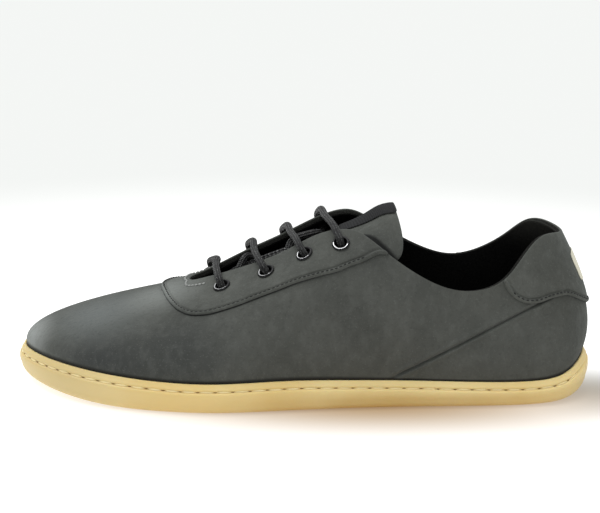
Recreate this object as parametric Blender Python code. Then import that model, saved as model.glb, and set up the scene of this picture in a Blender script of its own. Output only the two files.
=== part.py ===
"""A barefoot shoe for the left foot: a low laced upper on a stitched cupsole.

Metres, +Z up, floor at z = 0. The toe points along -X and the heel along +X. The lateral side
of this left shoe faces -Y. The origin is on the floor, under the middle of the sole.

The outer face of the upper is one function of two numbers. The turn goes once round the shoe:
0 behind the heel, about 0.25 at the lateral waist, 0.51 at the tip of the toe, 0.75 at the
medial waist. The rise goes up a section: 0 at the sole's rim, 1 at the edge of the opening.
Every overlay, the tongue, the eyelets and the lace take their places from it.
"""
import math

import bmesh
import bpy
import numpy as np
from mathutils import Matrix, Vector

# Driving sizes of the last and the sole
LENGTH = 0.2850
BALL_WIDTH = 0.1060
HEEL_HEIGHT = 0.0818
INSTEP_HEIGHT = 0.0848
SOLE_HEIGHT = 0.0148
TOE_SPRING = 0.0036
SPRING_START = 0.26
SPRING_EASE = 1.8
FLOOR_THICKNESS = 0.0042

# Side of the sole
LEDGE = 0.0034
WALL_DRAFT = 0.0007
EDGE_RADIUS = 0.0040
EDGE_SPREAD = 1.15
BAND_HEIGHT = 0.0035
BAND_LEDGE = 0.0026
GROOVE_HEIGHT = 0.0009
GROOVE_DEPTH = 0.0009
RIM_LEDGE = 0.0014
RIM_ROUND = 0.0004

# Leathers, linings and the fit between pieces
CLEARANCE = 0.0003
WALL = 0.0022
WALL_TUCK = 0.0018
INSOLE_THICKNESS = 0.0032
INSOLE_BEVEL = 0.0010
OVERLAY_THICKNESS = 0.0012
TONGUE_THICKNESS = 0.0040
LABEL_THICKNESS = 0.0007
SEAM_DEPTH = 0.0007
SEAM_WIDTH = 0.0024

# Eyelets and lace
LACE_DIAMETER = 0.0036
LACE_PLAY = 0.0010
EYELET_WALL = 0.0004
EYELET_FLANGE = 0.0012
EYELET_BACK = 0.0006
EYELET_SEAT = 0.0006
EYELET_GRIP = 0.0010
EYELET_HEIGHT = 0.0007
EYELET_LIP = 0.0002
EYELET_TAPER = 0.0005
LACE_BEND = 0.0030
LACE_BEND_ANGLES = (35, 85)
LACE_STRIDE = 0.0115

# Number of steps in the meshes
COLUMNS = 72
END_CROWDING = 0.25
RISE_ROWS = 10
RISE_CROWDING = 1.3
EDGE_ROWS = 4
EYELET_STEPS = 10

# Steps for reading directions off the surface: turn, rise, share across the throat
TURN_STEP = 0.005
RISE_STEP = 0.03
ARCH_STEP = 0.06

UPPER_LENGTH = LENGTH - 2 * LEDGE
UPPER_WIDTH = BALL_WIDTH - 2 * LEDGE
TOE_TURN = 0.512

# Heights over the upper's outer face: the eyelets' ends and the lace's middle
BORE = LACE_DIAMETER / 2 + LACE_PLAY
BARREL = BORE + EYELET_WALL
EYELET_TOP = CLEARANCE + OVERLAY_THICKNESS + EYELET_SEAT + EYELET_HEIGHT
EYELET_LOW = -WALL - EYELET_GRIP - EYELET_BACK
LACE_TOP = EYELET_TOP + CLEARANCE + LACE_DIAMETER / 2
LACE_LOW = EYELET_LOW - CLEARANCE - LACE_DIAMETER / 2
LACE_OVER = CLEARANCE + OVERLAY_THICKNESS + CLEARANCE + LACE_DIAMETER / 2
LACE_CROSSING = LACE_LOW + LACE_DIAMETER + 2 * CLEARANCE
LACE_ROOM = -LACE_LOW - WALL + LACE_DIAMETER / 2 + 2 * CLEARANCE

# The line where the upper meets the sole's rim.
# turn, x / UPPER_LENGTH, y / UPPER_WIDTH, rim / SOLE_HEIGHT, edge rounding / EDGE_RADIUS
OUTLINE = (
    (0.000, 0.500, -0.016, 1.42, 2.3),
    (0.030, 0.485, -0.180, 1.26, 1.9),
    (0.060, 0.452, -0.290, 0.96, 1.4),
    (0.100, 0.385, -0.350, 0.83, 1.0),
    (0.145, 0.290, -0.374, 0.86, 1.0),
    (0.195, 0.180, -0.388, 0.93, 1.0),
    (0.245, 0.068, -0.415, 0.99, 1.0),
    (0.290, -0.045, -0.460, 1.04, 1.0),
    (0.335, -0.162, -0.499, 1.00, 1.0),
    (0.380, -0.276, -0.462, 1.05, 1.1),
    (0.420, -0.368, -0.370, 1.15, 1.1),
    (0.455, -0.438, -0.226, 1.21, 1.2),
    (0.485, -0.483, -0.060, 1.21, 1.2),
    (0.512, -0.504, 0.110, 1.19, 1.2),
    (0.540, -0.490, 0.280, 1.19, 1.2),
    (0.572, -0.436, 0.405, 1.19, 1.2),
    (0.612, -0.346, 0.474, 1.12, 1.1),
    (0.660, -0.230, 0.499, 1.03, 1.0),
    (0.710, -0.105, 0.455, 1.01, 1.0),
    (0.760, 0.015, 0.378, 1.01, 1.0),
    (0.812, 0.130, 0.330, 0.97, 1.0),
    (0.860, 0.245, 0.318, 0.90, 1.0),
    (0.905, 0.352, 0.320, 0.84, 1.0),
    (0.942, 0.440, 0.262, 0.92, 1.4),
    (0.972, 0.486, 0.150, 1.20, 1.9),
)

# The edge of the opening. Its height is the sum of a share of each height.
# turn, x / UPPER_LENGTH, y / UPPER_WIDTH, z / HEEL_HEIGHT, z / INSTEP_HEIGHT
OPENING = (
    (0.000, 0.451, -0.016, 0.985, 0.000),
    (0.030, 0.433, -0.118, 0.995, 0.000),
    (0.060, 0.405, -0.182, 0.980, 0.000),
    (0.085, 0.378, -0.236, 0.890, 0.000),
    (0.110, 0.348, -0.278, 0.770, 0.000),
    (0.145, 0.294, -0.308, 0.695, 0.000),
    (0.185, 0.222, -0.315, 0.640, 0.095),
    (0.220, 0.150, -0.292, 0.370, 0.495),
    (0.245, 0.105, -0.226, 0.100, 0.855),
    (0.262, 0.078, -0.170, 0.000, 0.980),
    (0.282, 0.030, -0.135, 0.000, 0.953),
    (0.310, -0.030, -0.102, 0.000, 0.845),
    (0.345, -0.105, -0.070, 0.000, 0.733),
    (0.385, -0.168, -0.022, 0.000, 0.655),
    (0.440, -0.199, 0.020, 0.000, 0.616),
    (0.512, -0.207, 0.070, 0.000, 0.608),
    (0.585, -0.196, 0.122, 0.000, 0.620),
    (0.640, -0.155, 0.147, 0.000, 0.675),
    (0.680, -0.095, 0.165, 0.000, 0.772),
    (0.715, -0.030, 0.180, 0.000, 0.870),
    (0.742, 0.030, 0.195, 0.000, 0.965),
    (0.762, 0.070, 0.207, 0.000, 1.000),
    (0.785, 0.105, 0.238, 0.100, 0.870),
    (0.815, 0.155, 0.275, 0.380, 0.500),
    (0.855, 0.225, 0.290, 0.680, 0.095),
    (0.895, 0.300, 0.290, 0.757, 0.000),
    (0.925, 0.365, 0.255, 0.876, 0.000),
    (0.950, 0.405, 0.200, 0.990, 0.000),
    (0.975, 0.437, 0.100, 1.000, 0.000),
)

# How each section bulges. Angles are in degrees, the other two are shares of its chord.
# turn, lean outwards at the rim, pull of the lean, slope at the opening, pull of the slope
FULLNESS = (
    (0.000, 24.0, 0.30, 62.0, 0.38),
    (0.045, 14.0, 0.32, 74.0, 0.38),
    (0.100, 6.0, 0.38, 92.0, 0.32),
    (0.160, 8.0, 0.42, 80.0, 0.30),
    (0.220, 9.0, 0.42, 52.0, 0.30),
    (0.270, 8.0, 0.44, 32.0, 0.32),
    (0.330, 8.0, 0.34, 26.0, 0.38),
    (0.400, 8.0, 0.26, 21.0, 0.45),
    (0.460, 11.0, 0.18, 17.0, 0.56),
    (0.512, 13.0, 0.15, 16.0, 0.62),
    (0.560, 11.0, 0.17, 17.0, 0.56),
    (0.610, 8.0, 0.24, 21.0, 0.46),
    (0.680, 8.0, 0.34, 26.0, 0.38),
    (0.750, 8.0, 0.44, 34.0, 0.32),
    (0.800, 9.0, 0.42, 55.0, 0.30),
    (0.850, 8.0, 0.42, 80.0, 0.30),
    (0.900, 6.0, 0.38, 92.0, 0.32),
    (0.955, 13.0, 0.31, 74.0, 0.38),
)

# Lower edge of the eyestay: turn, rise. The medial half mirrors the lateral one at the toe.
EYESTAY_EDGE = (
    (0.226, 0.985),
    (0.232, 0.945),
    (0.240, 0.845),
    (0.256, 0.717),
    (0.277, 0.655),
    (0.300, 0.630),
    (0.324, 0.614),
    (0.343, 0.570),
    (0.359, 0.534),
    (0.373, 0.539),
    (0.391, 0.596),
    (0.412, 0.676),
    (0.440, 0.760),
    (0.474, 0.820),
    (0.512, 0.840),
)

# Lower edge of the heel patch: turn, rise. The medial half mirrors it behind the heel.
PATCH_EDGE = (
    (0.000, 0.378),
    (0.008, 0.386),
    (0.021, 0.438),
    (0.038, 0.523),
    (0.058, 0.556),
    (0.078, 0.587),
    (0.092, 0.655),
    (0.102, 0.754),
    (0.109, 0.856),
    (0.114, 0.965),
)

# Rows of the tongue from its hidden front end to its free top end.
# lateral turn, start ahead of the throat, hang below the edge (shares of the rise),
# sink below the facings (0 = just under the wall, 1 = lace room), arch pull / chord, trim
TONGUE_ROWS = (
    (0.462, 0.130, 0.080, 1.00, 0.35, 0.00),
    (0.450, 0.065, 0.110, 1.00, 0.35, 0.00),
    (0.435, 0.000, 0.150, 1.00, 0.35, 0.00),
    (0.410, None, 0.130, 1.00, 0.35, 0.00),
    (0.385, None, 0.150, 1.00, 0.35, 0.00),
    (0.358, None, 0.190, 1.00, 0.35, 0.00),
    (0.334, None, 0.210, 1.00, 0.35, 0.00),
    (0.312, None, 0.235, 1.00, 0.35, 0.00),
    (0.293, None, 0.250, 1.00, 0.35, 0.00),
    (0.276, None, 0.250, 1.00, 0.35, 0.00),
    (0.261, None, 0.250, 0.95, 0.38, 0.13),
    (0.247, None, 0.230, 0.60, 0.43, 0.26),
    (0.233, None, 0.195, 0.26, 0.51, 0.45),
    (0.220, None, 0.150, 0.16, 0.57, 0.64),
    (0.200, None, 0.110, 0.16, 0.63, 1.00),
)
TONGUE_ARCH_COLUMNS = 12
TONGUE_HANG_COLUMNS = 2
THROAT_ARCH = 0.35
# The end of the tongue is trimmed back at its middle and at its corners, in turns
TRIM_MIDDLE = 0.018
TRIM_CORNER = 0.042

# The woven ribbon on the tongue's top: rows of the tongue from the end, half width in lanes,
# and the share by which the lanes narrow towards the end
LABEL_ROWS = 4
LABEL_COLUMNS = 2
LABEL_NARROWING = 0.4

# Eyelets from the toe to the top: lateral turn, medial turn, rise
EYELETS = (
    (0.361, 0.640, 0.822),
    (0.325, 0.683, 0.846),
    (0.293, 0.716, 0.852),
    (0.267, 0.743, 0.878),
)

# Knots of the lace's bars: share of the lean, share across the throat, level
LACE_BAR = (
    (0.36, 0.00, LACE_OVER),
    (0.66, 0.50, LACE_OVER),
    (0.88, 1.00, LACE_OVER),
)
BAR_ARCH = 0.02

# Knots of the lace's hidden diagonals: lateral turn, share across the throat, level
LACE_DIAGONALS = (
    ((0.297, 0.76, LACE_LOW), (0.311, 0.36, LACE_CROSSING), (0.318, 0.02, LACE_LOW)),
    ((0.346, 0.96, LACE_LOW), (0.353, 0.66, LACE_CROSSING), (0.364, 0.20, LACE_LOW)),
    ((0.368, 0.96, LACE_LOW), (0.353, 0.66, LACE_LOW), (0.311, 0.36, LACE_LOW),
     (0.301, 0.02, LACE_LOW)),
)

# Places of the lace's last end under the medial facing, as shares of the way to the top eyelet
LACE_END = (0.30, 0.58)

# The diagonal seam of the lateral quarter, from the sole to the heel patch: turn, rise
SEAM_FOOT = (0.209, 0.010)
SEAM_TOP = (0.066, 0.560)
SEAM_MIDDLE = (0.140, 0.560)
SEAM_REACH = 0.15
SEAM_EASE = 8


class Ring:
    """A smooth closed curve through table rows, whose first column is the turn."""

    def __init__(self, rows, sizes):
        table = np.array(rows, float)
        self.turns = table[:, 0]
        self.values = table[:, 1:] * np.array(sizes)
        count = len(self.turns)
        self.steps = np.diff(np.append(self.turns, self.turns[0] + 1))
        slopes = (np.roll(self.values, -1, 0) - self.values) / self.steps[:, None]
        system = np.zeros((count, count))
        for i in range(count):
            system[i, i - 1] += self.steps[i - 1]
            system[i, i] += 2 * (self.steps[i - 1] + self.steps[i])
            system[i, (i + 1) % count] += self.steps[i]
        self.bends = np.linalg.solve(system, 6 * (slopes - np.roll(slopes, 1, 0)))

    def at(self, turn):
        turn = (turn - self.turns[0]) % 1 + self.turns[0]
        i = int(np.searchsorted(self.turns, turn, side="right")) - 1
        j = (i + 1) % len(self.turns)
        step = self.steps[i]
        a = (self.turns[i] + step - turn) / step
        b = 1 - a
        bend = (a ** 3 - a) * self.bends[i] + (b ** 3 - b) * self.bends[j]
        return (a * self.values[i] + b * self.values[j] + bend * step * step / 6).tolist()


OUTLINE_RING = Ring(OUTLINE, (UPPER_LENGTH, UPPER_WIDTH, SOLE_HEIGHT, EDGE_RADIUS))
OPENING_RING = Ring(OPENING, (UPPER_LENGTH, UPPER_WIDTH, HEEL_HEIGHT, INSTEP_HEIGHT))
FULLNESS_RING = Ring(FULLNESS, (1, 1, 1, 1))


def outline(turn):
    """Where the upper meets the rim of the sole."""
    return Vector(OUTLINE_RING.at(turn)[:3])


def opening(turn):
    """The edge of the collar and throat."""
    x, y, heel_part, instep_part = OPENING_RING.at(turn)
    return Vector((x, y, heel_part + instep_part))


def outward(curve, turn):
    """The level direction square to a closed curve, away from the foot."""
    run = curve(turn + TURN_STEP) - curve(turn - TURN_STEP)
    return Vector((-run.y, run.x, 0)).normalized()


def bezier(first, second, third, last, steps):
    """Points along a cubic curve."""
    points = []
    for i in range(steps + 1):
        t = i / steps
        s = 1 - t
        points.append(s ** 3 * first + 3 * s * s * t * second + 3 * s * t * t * third + t ** 3 * last)
    return points


def section(turn, steps=24):
    """Points up the outer face of the upper, from the rim to the opening's edge."""
    lean, lean_pull, slope, slope_pull = FULLNESS_RING.at(turn)
    lean = math.radians(lean)
    slope = math.radians(slope)
    start = outline(turn)
    end = opening(turn)
    chord = (end - start).length
    up = Vector((0, 0, 1))
    start_run = math.cos(lean) * up + math.sin(lean) * outward(outline, turn)
    end_run = math.sin(slope) * up - math.cos(slope) * outward(opening, turn)
    second = start + lean_pull * chord * start_run
    third = end - slope_pull * chord * end_run
    return bezier(start, second, third, end, steps)


SECTIONS = {}


def skin(turn, rise):
    """The outer face of the upper: even steps of rise are even lengths of leather."""
    key = round(turn % 1, 6)
    if key not in SECTIONS:
        points = np.array(section(key))
        lengths = np.linalg.norm(np.diff(points, axis=0), axis=1)
        SECTIONS[key] = (points, np.concatenate(([0], np.cumsum(lengths))))
    points, along = SECTIONS[key]
    place = rise * along[-1]
    return Vector([np.interp(place, along, points[:, axis]) for axis in range(3)])


def skin_frame(turn, rise):
    """The outer face's point with its directions forward, up the section, and out."""
    point = skin(turn, rise)
    forward = (skin(turn + TURN_STEP, rise) - skin(turn - TURN_STEP, rise)).normalized()
    up = (skin(turn, min(rise + RISE_STEP, 1)) - skin(turn, rise - RISE_STEP)).normalized()
    out = up.cross(forward).normalized()
    return point, forward, forward.cross(out).normalized(), out


def spring(x):
    """How far the sole's underside rises from the floor towards the toe."""
    start = -SPRING_START * LENGTH
    tip = -LENGTH / 2
    share = max(0, (start - x) / (start - tip))
    return TOE_SPRING * share ** SPRING_EASE


def beside(turn, out, height):
    """A point beyond the outline by out, at a height over the floor."""
    point = outline(turn) + out * outward(outline, turn)
    return Vector((point.x, point.y, height))


def around(turn, out, height):
    """A point beyond the outline by out, at a height over the sprung underside."""
    point = beside(turn, out, height)
    return Vector((point.x, point.y, height + spring(point.x)))


def spine(turn, out, height):
    """The point halfway between the two sides of the sole, at the same height."""
    near = around(turn, out, height)
    far = around(1 - turn, out, height)
    middle = (near + far) / 2
    return Vector((middle.x, middle.y, height + spring(middle.x)))


def smooth_through(rows, turn):
    """A value read from rows of (turn, value), eased between them."""
    turns = [row[0] for row in rows]
    values = [row[1] for row in rows]
    slopes = np.gradient(values, turns)
    i = min(max(int(np.searchsorted(turns, turn)) - 1, 0), len(turns) - 2)
    step = turns[i + 1] - turns[i]
    t = min(max((turn - turns[i]) / step, 0), 1)
    s = 1 - t
    rise = s * s * (1 + 2 * t) * values[i] + t * t * (1 + 2 * s) * values[i + 1]
    return float(rise + s * s * t * step * slopes[i] - t * t * s * step * slopes[i + 1])


def column_turn(column):
    """The turn of a column: columns crowd at the heel and toe, and pair off across the sole."""
    share = column / COLUMNS
    return share - END_CROWDING * math.sin(4 * math.pi * share) / (4 * math.pi)


def clear_scene():
    for thing in list(bpy.data.objects):
        bpy.data.objects.remove(thing, do_unlink=True)


def material(name, colour, roughness, metallic=0.0):
    surface = bpy.data.materials.new(name)
    surface.use_nodes = True
    shader = surface.node_tree.nodes["Principled BSDF"]
    shader.inputs["Base Color"].default_value = (*colour, 1)
    shader.inputs["Roughness"].default_value = roughness
    shader.inputs["Metallic"].default_value = metallic
    return surface


def finish(name, bm, surface, smooth_angle=35):
    """Turn a bmesh into a named object with its material and soft shading."""
    mesh = bpy.data.meshes.new(name)
    bm.to_mesh(mesh)
    bm.free()
    mesh.materials.append(surface)
    mesh.shade_smooth()
    mesh.set_sharp_from_angle(angle=math.radians(smooth_angle))
    thing = bpy.data.objects.new(name, mesh)
    bpy.context.collection.objects.link(thing)
    return thing


def sheet(columns, rows, place):
    """A grid whose corners are moved to place(column, row), with doubles welded.

    Columns run clockwise seen from above and rows run up, so the faces are turned outwards.
    """
    bm = bmesh.new()
    bmesh.ops.create_grid(bm, x_segments=columns, y_segments=rows, size=0.5)
    for vert in bm.verts:
        column = round((vert.co.x + 0.5) * columns)
        row = round((vert.co.y + 0.5) * rows)
        vert.co = place(column, row)
    bmesh.ops.remove_doubles(bm, verts=bm.verts, dist=0.00002)
    bmesh.ops.reverse_faces(bm, faces=bm.faces)
    return bm


def thicken(thing, lift, thickness):
    """Move a sheet along its normals by lift, then give it thickness beyond that."""
    if lift:
        shift = thing.modifiers.new("lift", "DISPLACE")
        shift.strength = lift
        shift.mid_level = 0
    wall = thing.modifiers.new("thickness", "SOLIDIFY")
    wall.thickness = abs(thickness)
    wall.offset = 1 if thickness > 0 else -1
    wall.use_even_offset = True
    return thing


def cut(thing, cutter):
    hole = thing.modifiers.new("holes", "BOOLEAN")
    hole.operation = "DIFFERENCE"
    hole.solver = "EXACT"
    hole.object = cutter


def make_sole(surface):
    """The cupsole: underside, rolled edge, wall, stitch groove, band, rim and cup."""

    def place(column, row):
        turn = column_turn(column)
        rim = outline(turn).z
        edge = OUTLINE_RING.at(turn)[3]
        if row == 0:
            return spine(turn, 0, 0)
        if row <= EDGE_ROWS + 1:
            angle = math.pi / 2 * (row - 1) / EDGE_ROWS
            out = LEDGE - WALL_DRAFT - EDGE_SPREAD * edge * (1 - math.sin(angle))
            return around(turn, out, edge * (1 - math.cos(angle)))
        groove = rim - BAND_HEIGHT
        side = (
            beside(turn, LEDGE, groove - GROOVE_HEIGHT),
            beside(turn, LEDGE - GROOVE_DEPTH, groove),
            beside(turn, BAND_LEDGE, groove + GROOVE_HEIGHT),
            beside(turn, RIM_LEDGE, rim - RIM_ROUND),
            beside(turn, RIM_LEDGE - RIM_ROUND, rim),
            beside(turn, CLEARANCE, rim),
            around(turn, CLEARANCE - WALL_TUCK, FLOOR_THICKNESS),
            spine(turn, CLEARANCE - WALL_TUCK, FLOOR_THICKNESS),
        )
        return side[row - EDGE_ROWS - 2]

    return finish("sole", sheet(COLUMNS, EDGE_ROWS + 9, place), surface)


def make_upper(surface):
    """The outer and lining leathers as one wall, open at the collar, throat and underneath."""

    def place(column, row):
        turn = column_turn(column)
        if row == 0:
            return around(turn, -WALL_TUCK, FLOOR_THICKNESS + CLEARANCE)
        return skin(turn, ((row - 1) / RISE_ROWS) ** RISE_CROWDING)

    bm = sheet(COLUMNS, RISE_ROWS + 1, place)
    press_seam(bm)
    return thicken(finish("upper", bm, surface), 0, -WALL)


def press_seam(bm):
    """Sink the closed seam that runs up the lateral quarter to the heel patch."""
    foot = skin(*SEAM_FOOT)
    top = skin(*SEAM_TOP)
    middle = skin(*SEAM_MIDDLE)
    out = skin_frame(*SEAM_MIDDLE)[3]
    along = (top - foot).normalized()
    square = along.cross(out).normalized()
    for shift in (-SEAM_WIDTH / 2, 0, SEAM_WIDTH / 2):
        reach = [v for v in bm.verts if v.co.y < -SEAM_REACH * UPPER_WIDTH and foot.x < v.co.x]
        faces = {f for v in reach for f in v.link_faces}
        edges = {e for f in faces for e in f.edges}
        points = {v for f in faces for v in f.verts}
        done = bmesh.ops.bisect_plane(
            bm,
            geom=list(points) + list(edges) + list(faces),
            dist=0.00002,
            plane_co=(foot + middle + top) / 3 + shift * square,
            plane_no=square,
        )
        if shift == 0:
            line = [g for g in done["geom_cut"] if isinstance(g, bmesh.types.BMVert)]
    for vert in line:
        share = (vert.co - foot).dot(along) / (top - foot).length
        if 0 < share < 1:
            ease = min(1, SEAM_EASE * share, SEAM_EASE * (1 - share))
            vert.co -= SEAM_DEPTH * ease * out


def make_insole(surface):
    """The loose footbed, inside the upper's wall and just over the sole's floor."""
    inset = WALL_TUCK + WALL + 2 * CLEARANCE
    low = FLOOR_THICKNESS + CLEARANCE
    top = low + INSOLE_THICKNESS
    profile = (
        (-inset, low),
        (-inset, top - INSOLE_BEVEL),
        (-inset - INSOLE_BEVEL, top),
    )

    def place(column, row):
        turn = column_turn(column)
        if row == 0:
            return spine(turn, -inset, low)
        if row > len(profile):
            return spine(turn, -inset, top)
        return around(turn, *profile[row - 1])

    return finish("insole", sheet(COLUMNS, len(profile) + 1, place), surface)


def make_eyestay(surface):
    """The lacing reinforcement that follows the throat's edge, laid on the upper."""
    first = EYESTAY_EDGE[0][0]
    columns = 44
    rows = 3

    def place(column, row):
        turn = first + (2 * TOE_TURN - 2 * first) * column / columns
        mirrored = TOE_TURN - abs(TOE_TURN - turn)
        low = smooth_through(EYESTAY_EDGE, mirrored)
        return skin(turn, low + (1 - low) * row / rows)

    thing = finish("eyestay", sheet(columns, rows, place), surface)
    return thicken(thing, CLEARANCE, OVERLAY_THICKNESS)


def make_heel_patch(surface):
    """The collar reinforcement that wraps the heel."""
    last = PATCH_EDGE[-1][0]
    columns = 20
    rows = 4

    def place(column, row):
        turn = -last + 2 * last * column / columns
        low = smooth_through(PATCH_EDGE, abs(turn))
        return skin(turn, low + (1 - low) * row / rows)

    thing = finish("heel_patch", sheet(columns, rows, place), surface)
    return thicken(thing, CLEARANCE, OVERLAY_THICKNESS)


def mirror_turn(turn):
    """The turn on the other side of the toe."""
    return 2 * TOE_TURN - turn


def bridge(turn, pull, share):
    """A point on the arch that joins the two edges of the opening over the instep."""
    near = opening(turn)
    far = opening(mirror_turn(turn))
    chord = (far - near).length
    near_run = (near - skin(turn, 1 - RISE_STEP)).normalized()
    far_run = (far - skin(mirror_turn(turn), 1 - RISE_STEP)).normalized()
    second = near + pull * chord * near_run
    third = far + pull * chord * far_run
    points = np.array(bezier(near, second, third, far, 24))
    lengths = np.linalg.norm(np.diff(points, axis=0), axis=1)
    along = np.concatenate(([0], np.cumsum(lengths)))
    return Vector([np.interp(share * along[-1], along, points[:, axis]) for axis in range(3)])


def bridge_frame(turn, pull, share):
    """The arch's point and its direction out of the shoe."""
    low = bridge(turn, pull, max(share - ARCH_STEP, 0))
    high = bridge(turn, pull, min(share + ARCH_STEP, 1))
    along = bridge(turn - TURN_STEP, pull, share) - bridge(turn + TURN_STEP, pull, share)
    return bridge(turn, pull, share), along.cross(high - low).normalized()


def tongue_corner(lane, row):
    """A corner of the tongue's outer face: lanes run from the lateral to the medial side."""
    turn, ahead, hang, sink, pull, trim = TONGUE_ROWS[row]
    half = TONGUE_ARCH_COLUMNS / 2
    beyond = max(0, abs(lane) - half) / TONGUE_HANG_COLUMNS
    across = min(max(lane / half, -1), 1)
    place = lane / (half + TONGUE_HANG_COLUMNS)
    turn += trim * (TRIM_MIDDLE * (1 - across ** 2) ** 2 + TRIM_CORNER * abs(place) ** 3)
    if ahead is not None:
        turn = TOE_TURN + place * (TOE_TURN - turn)
        point, _, _, out = skin_frame(turn, 1 - ahead - hang * place ** 2)
    elif beyond:
        point, _, _, out = skin_frame(turn if lane < 0 else mirror_turn(turn), 1 - hang * beyond)
    else:
        point, out = bridge_frame(turn, pull, (across + 1) / 2)
    return point - (WALL + CLEARANCE + sink * (LACE_ROOM - CLEARANCE)) * out


def make_tongue(surface):
    """The padded tongue, held under the front of the throat and free at its top."""
    half = TONGUE_ARCH_COLUMNS // 2 + TONGUE_HANG_COLUMNS

    def place(column, row):
        return tongue_corner(column - half, row)

    bm = sheet(2 * half, len(TONGUE_ROWS) - 1, place)
    return thicken(finish("tongue", bm, surface), 0, -TONGUE_THICKNESS)


def make_tongue_label(surface):
    """The plain woven ribbon along the middle of the tongue's top end."""

    def place(column, row):
        lane = (column - LABEL_COLUMNS) * (1 - LABEL_NARROWING * row / LABEL_ROWS)
        return tongue_corner(lane, len(TONGUE_ROWS) - 1 - LABEL_ROWS + row)

    bm = sheet(2 * LABEL_COLUMNS, LABEL_ROWS, place)
    return thicken(finish("tongue_label", bm, surface), CLEARANCE, LABEL_THICKNESS)


def eyelet_places():
    """Names and frames of the eyelets, lateral then medial, from the toe up."""
    places = []
    for side, column in (("lateral", 0), ("medial", 1)):
        for i, row in enumerate(EYELETS):
            point, forward, _, out = skin_frame(row[column], row[2])
            places.append((f"eyelet_{side}_{i + 1}", point, forward, out))
    return places


def axes_matrix(point, forward, out):
    """A placement whose local Z is the outward direction."""
    turned = Matrix((forward, out.cross(forward), out)).transposed()
    return Matrix.Translation(point) @ turned.to_4x4()


def make_eyelets(surface):
    """Eight metal rings, each one turned from the same profile."""
    bm = bmesh.new()
    seat = EYELET_TOP - EYELET_HEIGHT
    profile = (
        (BORE, EYELET_LOW),
        (BARREL + EYELET_BACK, EYELET_LOW),
        (BARREL + EYELET_BACK, EYELET_LOW + EYELET_BACK),
        (BARREL, EYELET_LOW + EYELET_BACK),
        (BARREL, seat),
        (BARREL + EYELET_FLANGE, seat),
        (BARREL + EYELET_FLANGE - EYELET_TAPER, EYELET_TOP),
        (BORE, EYELET_TOP - EYELET_LIP),
    )
    verts = [bm.verts.new((0, radius, height)) for radius, height in profile]
    loop = verts + verts[:1]
    edges = [bm.edges.new(pair) for pair in zip(loop, loop[1:])]
    bmesh.ops.spin(
        bm, geom=verts + edges, cent=(0, 0, 0), axis=(0, 0, 1),
        angle=2 * math.pi, steps=EYELET_STEPS, use_merge=True,
    )
    bmesh.ops.recalc_face_normals(bm, faces=bm.faces)
    first = finish("eyelet_lateral_1", bm, surface)
    for name, point, forward, out in eyelet_places():
        thing = first
        if name != first.name:
            thing = bpy.data.objects.new(name, first.data)
            bpy.context.collection.objects.link(thing)
        thing.matrix_world = axes_matrix(point, forward, out)


def eyelet_drill():
    """Eight rods that drill the eyelets' holes."""
    bm = bmesh.new()
    for _, *frame in eyelet_places():
        bmesh.ops.create_cone(
            bm, cap_ends=True, segments=EYELET_STEPS, radius1=BARREL + CLEARANCE,
            radius2=BARREL + CLEARANCE, depth=4 * WALL,
            matrix=axes_matrix(*frame),
        )
    mesh = bpy.data.meshes.new("eyelet_drill")
    bm.to_mesh(mesh)
    bm.free()
    drill = bpy.data.objects.new("eyelet_drill", mesh)
    bpy.context.collection.objects.link(drill)
    drill.hide_render = True
    drill.display_type = "WIRE"
    return drill


def lace_corner(frame, towards, level):
    """Knots of the lace's bend between the middle of a hole and the run beside it."""
    point, _, out = frame
    way = towards - point
    way = (way - way.dot(out) * out).normalized()
    sign = 1 if level > 0 else -1
    knots = []
    for angle in LACE_BEND_ANGLES:
        aside = LACE_BEND * (1 - math.cos(math.radians(angle)))
        depth = level - sign * LACE_BEND * (1 - math.sin(math.radians(angle)))
        knots.append(point + aside * way + depth * out)
    return knots


def lace_knots():
    """The lace's route from its end under the top lateral eyelet to the other hidden end."""
    frames = {name: frame for name, *frame in eyelet_places()}

    def eyelet(side, number):
        return frames[f"eyelet_{side}_{number}"]

    def over(turn, share, pull, level):
        point, out = bridge_frame(turn, pull, share)
        return point + level * out

    def bar(number):
        lateral, medial, _ = EYELETS[number - 1]
        lean = mirror_turn(medial) - lateral
        knots = [over(lateral + lean * lag, share, BAR_ARCH, level) for lag, share, level in LACE_BAR]
        near = eyelet("lateral", number)
        far = eyelet("medial", number)
        start = [near[0]] + lace_corner(near, knots[0], LACE_TOP)
        return start + knots + lace_corner(far, knots[-1], LACE_TOP)[::-1] + [far[0]]

    def diagonal(start, end, rows):
        knots = [over(turn, share, THROAT_ARCH, level) for turn, share, level in rows]
        begin = lace_corner(eyelet(*start), knots[0], LACE_LOW)
        return begin + knots + lace_corner(eyelet(*end), knots[-1], LACE_LOW)[::-1]

    def facing(share):
        _, turn, rise = (low + share * (high - low) for low, high in zip(EYELETS[2], EYELETS[3]))
        point, _, _, out = skin_frame(turn, rise)
        return point + LACE_LOW * out

    top_end = lace_corner(eyelet("lateral", 4), skin(EYELETS[3][0], 0.5), LACE_LOW)
    last_run = [facing(share) for share in LACE_END]
    last_end = lace_corner(eyelet("medial", 3), last_run[0], LACE_LOW) + last_run
    return (
        top_end[::-1]
        + bar(4)
        + diagonal(("medial", 4), ("lateral", 2), LACE_DIAGONALS[0])
        + bar(2)
        + diagonal(("medial", 2), ("lateral", 1), LACE_DIAGONALS[1])
        + bar(1)
        + diagonal(("medial", 1), ("lateral", 3), LACE_DIAGONALS[2])
        + bar(3)
        + last_end
    )


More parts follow.
